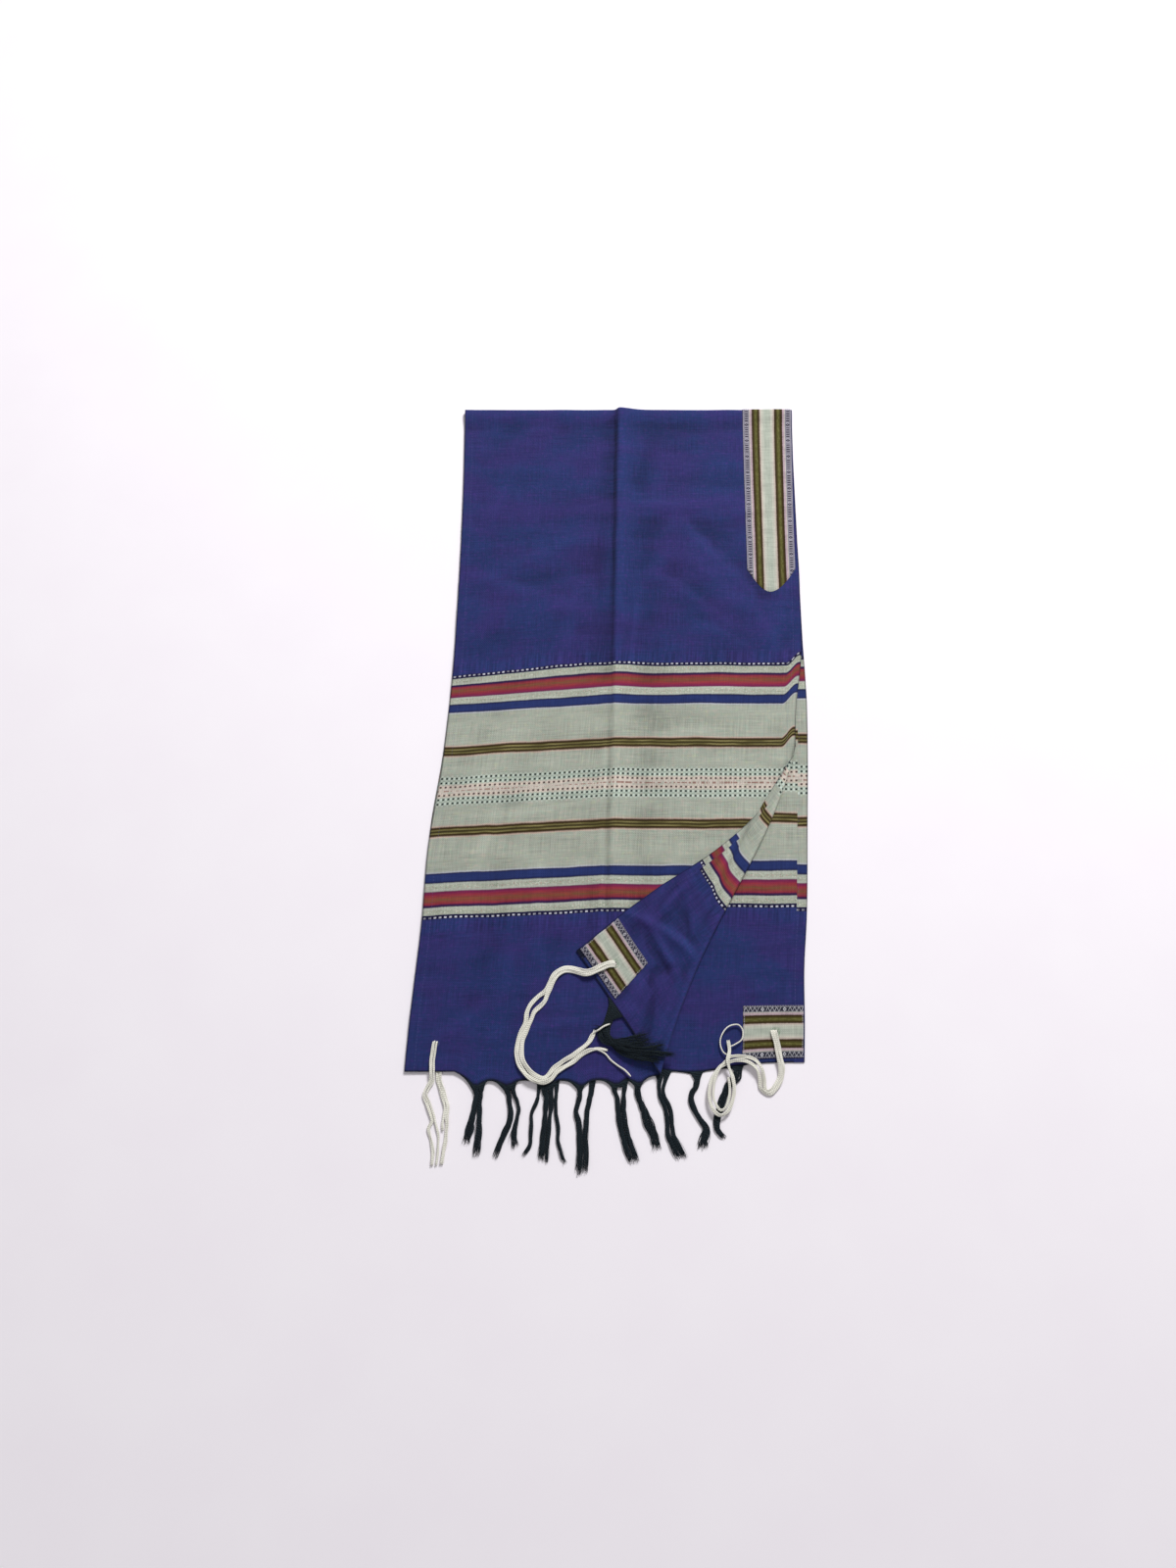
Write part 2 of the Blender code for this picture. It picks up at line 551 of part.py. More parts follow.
def neckband():
    """The half of the neckband that shows: from the middle of the far fold to its blunt point."""
    share = np.linspace(0, 1, BAND_COLUMNS + 1)
    middle = []
    square = []
    for angle in (0.5 * np.pi, 0.68 * np.pi, 0.84 * np.pi):
        across = WIDTH - BAND[0, 1] + share * (BAND[0, 1] - BAND[0, 2])
        middle.append(fold_point(across, angle))
        square.append(np.tile([0.0, np.sin(angle), -np.cos(angle)], (len(share), 1)))
    point = np.interp(share, BAND_POINT[:, 0], BAND_POINT[:, 1])
    for part in np.linspace(0, 1, BAND_ROWS + 1) ** 1.3:
        along = part * (BAND_SIDE_END + point * part ** 3)
        left = WIDTH - np.interp(along, BAND[:, 0], BAND[:, 1])
        right = WIDTH - np.interp(along, BAND[:, 0], BAND[:, 2])
        across = left + share * (right - left)
        middle.append(upper_point(across, along))
        square.append(upper_normal(across, along))
    gap = 0.5 * WALL + PIECE_GAP
    return laid_piece(np.array(middle), np.array(square), gap, PATCH_WALL)


def patch_grid(count):
    """Distances across and along of a corner patch, cut square to the corner."""
    across = WIDTH - PATCH_FROM_NECK - PATCH_ACROSS * np.linspace(1, 0, count)
    along = HALF_LENGTH - PATCH_FROM_FRINGE - PATCH_ALONG * np.linspace(1, 0, count)
    return np.meshgrid(across, along)


def patch_on_lower():
    """The patch on the near right corner of the lower half."""
    across, along = patch_grid(4)
    middle = lower_point(across, along)
    up = np.broadcast_to([0.0, 0.0, 1.0], middle.shape)
    return laid_piece(middle, up, 0.5 * WALL + PIECE_GAP, PATCH_WALL)


def patch_on_corner():
    """The patch on the turned corner, whose other side faces up."""
    across, along = patch_grid(8)
    middle = upper_point(across, along)
    up = -upper_normal(across, along)
    return laid_piece(middle, up, 0.5 * WALL + PIECE_GAP, PATCH_WALL)


def turned_away(route):
    """Level direction square to a route at each of its points, to the side of its left hand."""
    route = np.asarray(route, float)
    ahead = np.gradient(route[:, :2], axis=0)
    ahead /= np.linalg.norm(ahead, axis=1, keepdims=True)
    return np.stack([-ahead[:, 1], ahead[:, 0], np.zeros(len(route))], axis=1)


def yarn_rings(route, half_width, half_height):
    """Four-cornered rings along a route, with half sizes for all or one for each point."""
    route = np.asarray(route, float)
    side = turned_away(route) * np.broadcast_to(half_width, len(route))[:, None]
    side[-1] *= TIP_SHARE
    up = np.zeros_like(route)
    up[:, 2] = half_height
    up[-1] *= TIP_SHARE
    return np.stack([route - side + up, route + side + up, route + side - up, route - side - up], axis=1)


def comb(high, low, yarns):
    """A closed backing, two grids of stations high and low, with yarns grown out of its last row.

    A yarn takes the place of the end face between two stations, so the whole stays one body.
    """
    rows, stations = high.shape[:2]
    count = rows * stations
    points = np.concatenate([high.reshape(-1, 3), low.reshape(-1, 3)]).tolist()
    faces = grid_faces(rows, stations) + grid_faces(rows, stations, count)
    for row in range(rows - 1):
        for station in (0, stations - 1):
            here = row * stations + station
            faces.append((here, here + stations, here + stations + count, here + count))
    last = (rows - 1) * stations
    for lane in range(stations - 1):
        faces.append((lane, lane + 1, lane + 1 + count, lane + count))
        ring = [last + lane, last + lane + 1, last + lane + 1 + count, last + lane + count]
        for corners in yarns.get(lane, ()):
            fresh = list(range(len(points), len(points) + 4))
            points.extend(corners.tolist())
            for here in range(4):
                after = (here + 1) % 4
                faces.append((ring[here], ring[after], fresh[after], fresh[here]))
            ring = fresh
        faces.append(tuple(ring))
    return np.array(points), faces


def strip_stations(ends, yarns):
    """Distances across and depths of a toothed strip, and the lane of each yarn."""
    direction = np.sign(ends[1] - ends[0])
    places = [(ends[0], NOTCH_DEPTH)]
    lanes = []
    previous = ends[0]
    for root, half_width, _ in yarns:
        start = root - direction * half_width
        room = abs(start - previous)
        if room > 3 * NOTCH_REACH:
            places.append((previous + direction * NOTCH_REACH, NOTCH_DEPTH))
            places.append((start - direction * NOTCH_REACH, NOTCH_DEPTH))
        elif room > 4:
            places.append(((start + previous) / 2, NOTCH_DEPTH))
        if room > 0.8:
            places.append((start, TOOTH_DEPTH))
        lanes.append(len(places) - 1)
        previous = root + direction * half_width
        places.append((previous, TOOTH_DEPTH))
    places.append((ends[1], NOTCH_DEPTH))
    return np.array(places), lanes


def fringe(point, normal, ends, yarns):
    """A toothed strip along a fringed edge and its yarn bundles."""
    places, lanes = strip_stations(ends, yarns)
    across = places[:, 0]
    edge = point(across, HALF_LENGTH)
    out = edge - point(across, HALF_LENGTH - 1.0)
    out /= np.linalg.norm(out, axis=1, keepdims=True)
    up = normal(across, HALF_LENGTH)
    up = up * np.sign(up[:, 2:])
    near = edge + out * STRIP_GAP
    far = edge + out * (STRIP_GAP + places[:, 1:])
    middle = np.stack([near, far])
    thick = 0.5 * STRIP_WALL * np.stack([up, up])
    grown = {}
    for lane, (_, _, route) in zip(lanes, yarns):
        route = np.array(route)
        half_width = route[:, -1]
        height = np.full(len(route), YARN_HALF_HEIGHT + YARN_CLEAR)
        if route.shape[1] == 4:
            height = route[:, 2]
        route = np.column_stack([route[:, :2], height])
        half_height = np.minimum(YARN_HALF_HEIGHT, height - YARN_CLEAR)
        grown[lane] = yarn_rings(route, half_width, half_height)
    return comb(middle + thick, middle - thick, grown)


def straight_up(across, along):
    """Square to the lower cloth, which lies level."""
    return np.tile([0.0, 0.0, 1.0], (len(across), 1))


def upper_fringe():
    """Fringe of the upper half."""
    return fringe(upper_point, upper_normal, UPPER_STRIP_ENDS, UPPER_YARNS)


def turned_fringe():
    """Fringe of the turned corner, lying on the cloth."""
    return fringe(upper_point, upper_normal, TURNED_STRIP_ENDS, TURNED_YARNS)


def lower_fringe():
    """Fringe of the lower half, its left part beneath the upper one."""
    return fringe(lower_point, straight_up, LOWER_STRIP_ENDS, LOWER_YARNS)


def corner_cord(shared, right_strand, left_strand):
    """A doubled cord: two strands joined over the shared stretch, then apart."""
    shared = np.asarray(shared, float)
    side = turned_away(shared) * 2 * CORD_HALF_WIDTH
    up = np.array([0.0, 0.0, CORD_HALF_HEIGHT])
    middle = np.stack([shared - side, shared, shared + side], axis=1)
    flat = np.where(shared[:, 2] < 1, 0.6 / CORD_HALF_HEIGHT, 1.0)[:, None, None]
    yarns = {
        0: yarn_rings(right_strand, CORD_HALF_WIDTH, CORD_HALF_HEIGHT),
        1: yarn_rings(left_strand, CORD_HALF_WIDTH, CORD_HALF_HEIGHT),
    }
    return comb(middle + up * flat, middle - up * flat, yarns)


PIECES = {
    "shawl_cloth": (shawl_cloth, (0.045, 0.032, 0.19), 0.85, False),
    "neckband": (neckband, (0.36, 0.37, 0.31), 0.8, False),
    "corner_patch_right": (patch_on_lower, (0.30, 0.28, 0.22), 0.8, False),
    "corner_patch_turned": (patch_on_corner, (0.30, 0.28, 0.22), 0.8, False),
    "fringe_upper": (upper_fringe, (0.010, 0.018, 0.024), 0.9, False),
    "fringe_lower": (lower_fringe, (0.010, 0.018, 0.024), 0.9, False),
    "fringe_turned": (turned_fringe, (0.010, 0.018, 0.024), 0.9, False),
}
CORD_COLOUR = (0.79, 0.77, 0.70)
CORD_ROUGHNESS = 0.75


def make_material(name, colour, roughness):
    """A plain fabric colour."""
    material = bpy.data.materials.new(name)
    material.use_nodes = True
    shader = material.node_tree.nodes["Principled BSDF"]
    shader.inputs["Base Color"].default_value = (*colour, 1.0)
    shader.inputs["Roughness"].default_value = roughness
    shader.inputs["Metallic"].default_value = 0.0
    return material


def add_piece(name, points, faces, colour, roughness, smooth):
    """Make the named object from its points and faces, normals outward."""
    placed = (np.asarray(points) - [MIDDLE_X, MIDDLE_Y, 0.0]) * MM
    mesh = bpy.data.meshes.new(name)
    mesh.from_pydata(placed.tolist(), [], faces)
    shape = bmesh.new()
    shape.from_mesh(mesh)
    loose = [vertex for vertex in shape.verts if not vertex.link_faces]
    bmesh.ops.delete(shape, geom=loose, context="VERTS")
    bmesh.ops.recalc_face_normals(shape, faces=shape.faces)
    shape.to_mesh(mesh)
    shape.free()
    mesh.polygons.foreach_set("use_smooth", [smooth] * len(mesh.polygons))
    mesh.materials.append(make_material(name + "_fabric", colour, roughness))
    piece = bpy.data.objects.new(name, mesh)
    bpy.context.scene.collection.objects.link(piece)
    return piece


for leftover in list(bpy.data.objects):
    bpy.data.objects.remove(leftover, do_unlink=True)
for piece_name, (build, colour, roughness, smooth) in PIECES.items():
    piece_points, piece_faces = build()
    add_piece(piece_name, piece_points, piece_faces, colour, roughness, smooth)
for cord_name, stretches in CORDS.items():
    cord_points, cord_faces = corner_cord(*stretches)
    add_piece(cord_name, cord_points, cord_faces, CORD_COLOUR, CORD_ROUGHNESS, False)
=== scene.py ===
# %% [markdown]
# # A striped prayer shawl, folded once and laid on a table
#
# The real thing is one long woven cloth with fringe at both ends, a woven neckband, a patch at each
# corner and white cords through the corners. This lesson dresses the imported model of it: every plain
# solid gets a finer surface that lies in the same place, and a finish built from nodes.
# Sizes below are millimetres on the table. They become metres only when a mesh is made.

import bmesh
import bpy
import numpy as np
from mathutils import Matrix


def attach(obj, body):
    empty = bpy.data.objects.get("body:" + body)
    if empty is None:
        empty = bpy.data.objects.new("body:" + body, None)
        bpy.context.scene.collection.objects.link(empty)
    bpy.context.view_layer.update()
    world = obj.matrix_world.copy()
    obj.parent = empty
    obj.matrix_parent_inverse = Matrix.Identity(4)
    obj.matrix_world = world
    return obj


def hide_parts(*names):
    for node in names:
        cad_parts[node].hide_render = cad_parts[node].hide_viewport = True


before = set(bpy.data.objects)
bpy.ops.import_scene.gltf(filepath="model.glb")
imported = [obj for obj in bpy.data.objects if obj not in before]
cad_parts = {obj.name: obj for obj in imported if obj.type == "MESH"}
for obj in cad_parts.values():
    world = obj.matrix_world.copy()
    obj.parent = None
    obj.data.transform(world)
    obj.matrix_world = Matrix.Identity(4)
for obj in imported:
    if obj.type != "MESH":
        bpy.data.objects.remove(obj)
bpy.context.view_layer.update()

# %% [markdown]
# ## Camera
#
# The photograph looks down on the table from 20 degrees off the plumb line, from about a metre and a
# half away. A shawl is flat, so this view shows nearly the whole of it, and the far end only a
# little smaller than the near end. The plain "Standard" view keeps a painted colour as it was chosen,
# so each dye can be set by eye against the real cloth.

# %% Place the camera
CAMERA_TILT = 20.0
CAMERA_LENS = 27.92
SENSOR_HEIGHT = 36.0
CAMERA_PLACE = (-0.03765, -0.57246, 1.4415)
camera_data = bpy.data.cameras.new("table_camera")
camera_data.sensor_fit = "VERTICAL"
camera_data.sensor_height = SENSOR_HEIGHT
camera_data.lens = CAMERA_LENS
camera = bpy.data.objects.new("table_camera", camera_data)
camera.location = CAMERA_PLACE
camera.rotation_euler = (np.radians(CAMERA_TILT), 0.0, 0.0)
bpy.context.scene.collection.objects.link(camera)
bpy.context.scene.camera = camera
bpy.context.scene.view_settings.view_transform = "Standard"
print("camera at", CAMERA_PLACE, "tilted", CAMERA_TILT, "degrees")

# %% [markdown]
# ## How the cloth lies
#
# A cloth keeps its own two distances wherever it goes: "across", from the left edge to the neck
# edge, and "along", from the far fold to the fringed edge. If every fold is a function of these two,
# the woven stripes follow the folds by themselves, as on a real cloth. The tables say where the
# edges lie on the table for each distance along. Smooth curves through the rows do the rest.

# %% Sizes and tables
WIDTH = 462.0
HALF_LENGTH = 914.0
WALL = 1.2
LAYER_GAP = 0.4
FOLD_RADIUS = 2.4
FOLD_SETTLE = 30.0
MIDDLE = np.array([37.65, 47.796, 0.0])
FOLD_Y = 559.5
LENGTH_RATE = 1.0015
HEM = 12.5

# Columns: along, left edge x, upper right x, lower right x, sag of the upper left, lower shift.
LIE_COLUMNS = ("along", "left", "upper_right", "lower_right", "sag", "lower_shift")
LIE = np.array([
    (0, -173.9, 288.3, 287.3, 0, 0),
    (130, -172.1, 284.5, 285.5, 4, 4),
    (283, -173.3, 283.0, 283.5, 12, 10),
    (384, -176.1, 279.0, 282.5, 20.5, 15),
    (454, -179.7, 268.5, 283.0, 13.5, 13),
    (520, -184.7, 263.5, 280.0, 13, 10),
    (627, -197.4, 259.0, 273.0, 12, 8),
    (739, -201.8, 255.0, 265.0, 9, 6),
    (799, -206.1, 253.0, 258.5, 4, 7),
    (868, -210.8, 251.0, 255.0, 1.5, 9),
    (914, -213.0, 250.0, 252.0, 0, 11),
])
# How far across the sag reaches, by distance along.
SAG_REACH = np.array([(283, 172), (390, 172), (460, 218)])

# The near edge of the upper half hangs lower where it is fringed: drop by distance across.
EDGE_DROP = np.array([(58, 0.0), (80, 9.3), (215, 9.3), (270, 6.5), (293, 4.5)])
EDGE_DROP_START = 850.0

# Each bundle of fringe pulls the edge down further: distances across of the roots.
PULLS = np.array([84, 120, 164, 205, 246, 272])
PULL_DEPTH = 6.5
PULL_LEFT = 10.0
PULL_RIGHT = 8.0

# The near edge of the lower half dips between its fringe and the turned corner.
NEAR_DIP = 11.0
NEAR_DIP_START = 820.0
NEAR_DIP_SHARE = 0.71
NEAR_DIP_WIDTH = 0.12

# The corner that is turned over.
TURN_START_ALONG = 500.0
TURN_END_ACROSS = 293.0
TURN_BOW = 10.0
CORNER_PULL = np.array([14.0, 27.0])
NECK_BOW = 95.0
NECK_BOW_WAY = np.array([0.73, -0.68])
NECK_BOW_LIMIT = 0.5
TURN_SLOPE = (WIDTH - TURN_END_ACROSS) / (HALF_LENGTH - TURN_START_ALONG)
TURN_ANGLE = np.arctan(TURN_SLOPE)
print("cloth", WIDTH, "by", 2 * HALF_LENGTH, "mm, corner turned at",
      round(float(np.degrees(TURN_ANGLE)), 1), "degrees")

# %% [markdown]
# ## Smooth curves through a table
#
# The tables above hold a few rows each. Straight steps between the rows would show as kinks in every
# stripe, so cubic curves join them. Each curve passes through the rows, and at every row it keeps the
# slope that the rows on both sides of it give.


# %% Read a table along smooth curves
def smooth_table(table, column, where):
    """Cubic curves through the rows: each end of a step keeps its value and the table's own slope."""
    keys = table[:, 0]
    values = table[:, column]
    slopes = np.gradient(values, keys)
    where = np.clip(where, keys[0], keys[-1])
    left = np.clip(np.searchsorted(keys, where, side="right") - 1, 0, len(keys) - 2)
    step = keys[left + 1] - keys[left]
    part = (where - keys[left]) / step
    near = (1 + 2 * part) * (1 - part) ** 2 * values[left]
    far = part ** 2 * (3 - 2 * part) * values[left + 1]
    near_slope = part * (1 - part) ** 2 * step * slopes[left]
    far_slope = part ** 2 * (part - 1) * step * slopes[left + 1]
    return near + far + near_slope + far_slope


def lie(name, along):
    """One column of the table that says how the halves lie."""
    return smooth_table(LIE, LIE_COLUMNS.index(name), along)


print("left edge runs from", lie("left", 0.0), "to", lie("left", HALF_LENGTH))

# %% [markdown]
# ## Folds, swells and small creases
#
# A laid cloth is never flat. It keeps the sharp line where it was pressed, long soft swells where it
# was smoothed by hand, and many small creases. Each is a smooth mound, high in the middle and gone at
# its ends, and they are simply added up. Low waves in many directions give the slight unrest between
# them. Cloth simulation would put the creases where it likes, so they are listed one by one here.

# %% Creases of the upper half
CREASE_X = 44.5
CREASE_LEAN = 0.0217
CREASE_STEEP_SIDE = 4.4
CREASE_SOFT_SIDE = 24.0
CREASE_HEIGHT = np.array([
    (-360, 0.0), (-205, 0.4), (-120, 1.8), (0, 2.4), (200, 3.8), (300, 5.0), (560, 5.0),
])
# The small creases are raised by these shares, or the soft light would not show them.
CREASE_SCALE = 3.3
CORNER_SCALE = 2.3
WAVE_COUNT = 14

# Columns: x, y, direction in degrees, half length, half width, height.
UPPER_SWELLS = np.array([
    (140, 410, 2, 95, 16, 1.8),
    (170, 290, -52, 85, 18, 2.0),
    (255, 250, 75, 90, 16, 2.4),
    (-80, 250, 12, 110, 26, 1.6),
    (-120, 30, 62, 90, 24, 1.6),
    (-155, -190, 70, 55, 24, 1.6),
    (160, 130, 4, 90, 22, 1.2),
])
SMALL_CREASES = np.array([
    (118, 402, -4, 60, 5, 0.55), (205, 392, 8, 50, 6, 0.5), (95, 455, 82, 60, 7, 0.4),
    (150, 345, -58, 55, 5, 0.6), (192, 300, -50, 60, 6, 0.7), (138, 262, -38, 50, 5, 0.6),
    (228, 225, -64, 50, 6, 0.6), (178, 205, -30, 45, 5, 0.5), (100, 330, 70, 60, 7, 0.5),
    (60, 220, 84, 70, 4, 0.5), (28, 330, 88, 90, 5, 0.5), (-30, 200, 80, 60, 7, 0.45),
    (-60, 330, 25, 70, 8, 0.5), (-120, 420, 68, 60, 7, 0.5), (-110, 280, -20, 60, 7, 0.45),
    (20, 20, 87, 120, 5, 0.4), (110, 60, 12, 70, 8, 0.4), (-70, -40, 8, 70, 7, 0.4),
    (-130, -80, 75, 60, 7, 0.5), (15, -170, 88, 80, 4, 0.5), (-22, -205, 84, 85, 4.5, 0.5),
    (-62, -185, 90, 90, 5, 0.5), (-98, -235, 82, 75, 5, 0.5), (60, -245, 80, 70, 6, 0.4),
    (-20, -300, 10, 80, 6, 0.35), (-150, -300, 30, 40, 7, 0.4), (85, -150, 66, 60, 6, 0.5),
])
CORNER_SWELLS = np.array([
    (150, -60, 52, 100, 13, 3.2),
    (128, -190, 66, 75, 12, 2.6),
    (205, -15, 50, 50, 11, 2.0),
    (100, -238, 66, 80, 30, 2.6),
])
CORNER_CREASES = np.array([
    (80, -215, -62, 34, 4.5, -1.7), (89, -213, -60, 32, 5, 1.0), (110, -206, -40, 38, 6, 2.0),
    (120, -242, 60, 14, 8, -3.0), (128, -224, -32, 18, 7, 1.8), (90, -298, 68, 44, 4.5, 1.8),
    (98, -290, 68, 40, 4.5, -1.5), (76, -247, 60, 14, 4.5, -1.2), (115, -171, -80, 26, 5, -1.4),
    (88, -238, 8, 18, 4, -1.3), (62, -176, -32, 24, 5, 1.2), (150, -150, 66, 50, 4.5, 1.0),
    (172, -95, 60, 55, 4.5, 1.1), (196, -40, 58, 45, 4, 0.8), (104, -150, 48, 40, 5, 1.1),
    (60, -262, 55, 34, 6, 0.8), (140, -180, 60, 30, 5, -1.2), (72, -292, 76, 30, 4, -1.0),
])
LOWER_CREASES = np.array([
    (222, -205, 4, 34, 5, 1.3), (232, -150, -8, 26, 6, 1.1), (205, -262, 10, 30, 6, 1.0),
    (238, -255, 80, 40, 5, 0.7), (180, -300, 70, 26, 6, 0.9), (205, -232, -6, 40, 5, 0.9),
    (165, -262, 74, 34, 6, 0.9),
])


def mounds(table, x, y):
    """Sum of long mounds: height x exp(-(lengthwise / half length)^2 - (sideways / half width)^2)."""
    total = np.zeros_like(x)
    for centre_x, centre_y, turn, half_length, half_width, top in table:
        angle = np.radians(turn)
        lengthwise = (x - centre_x) * np.cos(angle) + (y - centre_y) * np.sin(angle)
        sideways = (y - centre_y) * np.cos(angle) - (x - centre_x) * np.sin(angle)
        total += top * np.exp(-(lengthwise / half_length) ** 2 - (sideways / half_width) ** 2)
    return total


def pressed_crease(x, y):
    """A ridge, steep on its left and soft on its right: height(y) x exp(-(distance / reach)^2)."""
    off = x - (CREASE_X - CREASE_LEAN * (FOLD_Y - y))
    reach = np.where(off < 0, CREASE_STEEP_SIDE, CREASE_SOFT_SIDE)
    return np.interp(y, CREASE_HEIGHT[:, 0], CREASE_HEIGHT[:, 1]) * np.exp(-(off / reach) ** 2)


def low_waves(x, y, height, seed):
    """Slight unrest: the mean of cosines whose directions, lengths and starts come from a seed."""
    chance = np.random.default_rng(seed)
    total = np.zeros_like(x)
    for _ in range(WAVE_COUNT):
        angle = chance.uniform(0, np.pi)
        length = chance.uniform(34, 120)
        start = chance.uniform(0, 2 * np.pi)
        total += np.cos(2 * np.pi * (x * np.cos(angle) + y * np.sin(angle)) / length + start)
    return height * total / np.sqrt(WAVE_COUNT)


def kept_above(height, lowest):
    """A smooth floor: half the sum of the height, the lowest value and their softened distance."""
    return 0.5 * (height + lowest + np.hypot(height - lowest, 0.15))


print("placed", len(UPPER_SWELLS) + len(CORNER_SWELLS), "swells and",
      len(SMALL_CREASES) + len(CORNER_CREASES) + len(LOWER_CREASES), "small creases")

# %% [markdown]
# ## From cloth distances to places on the table
#
# The upper half is laid flat first. Where a point is beyond the slanted fold of the turned corner, it
# goes round a half circle and then back over the cloth, mirrored in the fold line, which is what
# folding a corner does. The same functions serve the cloth, the band and the patches, so they can
# never drift apart.


# %% Points and directions of the upper half
def settle(distance):
    """Goes from one at a fold to nothing where the cloth has come to rest."""
    part = np.clip(distance / FOLD_SETTLE, 0, 1)
    return (1 - part) ** 2 * (1 + 2 * part)


def upper_middle_height(x, y, along):
    """Height over the lower cloth, raised at the far fold, plus every swell, crease and wave."""
    flat = 1.5 * WALL + LAYER_GAP
    at_fold = 0.5 * WALL + 2 * FOLD_RADIUS
    relief = mounds(UPPER_SWELLS, x, y) + pressed_crease(x, y) + CREASE_SCALE * mounds(SMALL_CREASES, x, y)
    relief = kept_above(relief + low_waves(x, y, 0.3, 5), -0.15)
    return flat + (at_fold - flat) * settle(along) + relief


def upper_plan(across, along):
    """Place of the upper half on the table, as if no corner were turned."""
    left = lie("left", along)
    share = across / WIDTH
    x = left + share * (lie("upper_right", along) - left)
    left_part = np.clip(1 - across / np.interp(along, SAG_REACH[:, 0], SAG_REACH[:, 1]), 0, 1)
    near_end = np.clip((along - EDGE_DROP_START) / (HALF_LENGTH - EDGE_DROP_START), 0, 1)
    off = across[..., None] - PULLS
    pull = np.exp(-np.abs(off / np.where(off < 0, PULL_LEFT, PULL_RIGHT)) ** 2).max(axis=-1)
    drop = np.interp(across, EDGE_DROP[:, 0], EDGE_DROP[:, 1]) * near_end ** 2
    drop = drop + PULL_DEPTH * pull * near_end ** 6
    return x, FOLD_Y - LENGTH_RATE * along - lie("sag", along) * left_part - drop


def turn_line(along):
    """Distance across of the slanted fold: a straight line with a slight bow."""
    part = np.clip((along - TURN_START_ALONG) / (HALF_LENGTH - TURN_START_ALONG), 0, 1)
    bow = TURN_BOW * np.sin(2 * np.pi * part) * (1 - 0.4 * part)
    return WIDTH - TURN_SLOPE * (along - TURN_START_ALONG) + bow


def past_turn(across, along):
    """Distance beyond the slanted fold, square to it."""
    return (across - turn_line(along)) * np.cos(TURN_ANGLE)


def drawn_in(across, along, laid):
    """How far the turned corner is drawn in: the corner's own pull and a bow of the neck edge."""
    fringe_share = np.clip((along - TURN_START_ALONG) / (HALF_LENGTH - TURN_START_ALONG), 0, 1)
    off_line = past_turn(across, along) / np.cos(TURN_ANGLE)
    corner = np.clip(off_line / (WIDTH - TURN_END_ACROSS), 0, 1)
    to_neck = np.clip(corner / np.maximum(fringe_share, 0.05), 0, 1)
    bow = NECK_BOW * corner ** 0.6 * (1 - fringe_share) * to_neck
    limit = NECK_BOW_LIMIT * laid + 0.001
    bow = limit * np.tanh(bow / limit)
    return corner[..., None] * CORNER_PULL + bow[..., None] * NECK_BOW_WAY


def upper_point(across, along):
    """Middle of the upper cloth: flat, then round the slanted fold, then back over itself."""
    across, along = np.broadcast_arrays(np.asarray(across, float), np.asarray(along, float))
    beyond = past_turn(across, along)
    angle = np.clip(beyond / FOLD_RADIUS, 0, np.pi)
    laid = np.maximum(beyond - np.pi * FOLD_RADIUS, 0)
    reach = FOLD_RADIUS * np.sin(angle) - laid
    back = np.where(beyond > 0, beyond - reach, 0)
    flat_along = along - back * np.sin(TURN_ANGLE)
    x, y = upper_plan(across - back * np.cos(TURN_ANGLE), flat_along)
    over_part = np.clip(laid / FOLD_SETTLE, 0, 1)
    drawn = drawn_in(across, along, laid) * over_part[..., None]
    x = x + drawn[..., 0]
    y = y + drawn[..., 1]
    over = WALL + LAYER_GAP + 0.2
    lift = over + (2 * FOLD_RADIUS - over) * settle(laid)
    z = upper_middle_height(x, y, flat_along)
    z = z + np.where(laid > 0, lift, FOLD_RADIUS * (1 - np.cos(angle)))
    relief = mounds(CORNER_SWELLS, x, y) + CORNER_SCALE * mounds(CORNER_CREASES, x, y)
    z = z + kept_above(relief + low_waves(x, y, 0.3, 8), -0.1) * over_part
    return np.stack([x, y, z], axis=-1)


def facing(point, across, along):
    """Direction square to a cloth, from the cross product of its runs along and across."""
    step = 0.2
    run_across = point(across + step, along) - point(across - step, along)
    run_along = point(across, along + step) - point(across, along - step)
    square = np.cross(run_along, run_across)
    return square / np.linalg.norm(square, axis=-1, keepdims=True)


print("the turned corner reaches", np.round(upper_point(WIDTH, HALF_LENGTH), 1).tolist())

# %% [markdown]
# ## The lower half and the far fold
#
# The lower half lies flat on the table, and only its near right corner shows. The far fold is a half
# circle between the halves. Its centre is halfway up, its radius is half their distance in height, and
# it leans by as much as they lie apart, so it meets both of them.


# %% Points of the lower half and of the far fold
def lower_point(across, along):
    """Middle of the lower cloth on the table, with low creases only where it is uncovered."""
    across, along = np.broadcast_arrays(np.asarray(across, float), np.asarray(along, float))
    left = lie("left", along) + 1.2
    x = left + across / WIDTH * (lie("lower_right", along) - left)
    near_end = np.clip((along - NEAR_DIP_START) / (HALF_LENGTH - NEAR_DIP_START), 0, 1)
    dip = NEAR_DIP * near_end * np.exp(-((across / WIDTH - NEAR_DIP_SHARE) / NEAR_DIP_WIDTH) ** 2)
    y = FOLD_Y - LENGTH_RATE * along + lie("lower_shift", along) - dip
    open_part = np.clip((past_turn(across, along) - 12) / 30, 0, 1) * (along > TURN_START_ALONG)
    return np.stack([x, y, 0.5 * WALL + mounds(LOWER_CREASES, x, y) * open_part], axis=-1)


def fold_point(across, angle):
    """Middle of the cloth round the far fold: a half circle from the lower to the upper cloth."""
    low = lower_point(across, 0.0)
    high = upper_point(across, 0.0)
    middle = (low + high) / 2
    radius = (high[..., 2] - low[..., 2]) / 2
    turn = np.broadcast_to(angle, radius.shape)[..., None]
    out = np.concatenate([0 * turn, np.sin(turn), -np.cos(turn)], axis=-1) * radius[..., None]
    lean = np.cos(turn) * (low - middle) * np.array([1.0, 1.0, 0.0])
    return middle + out + lean


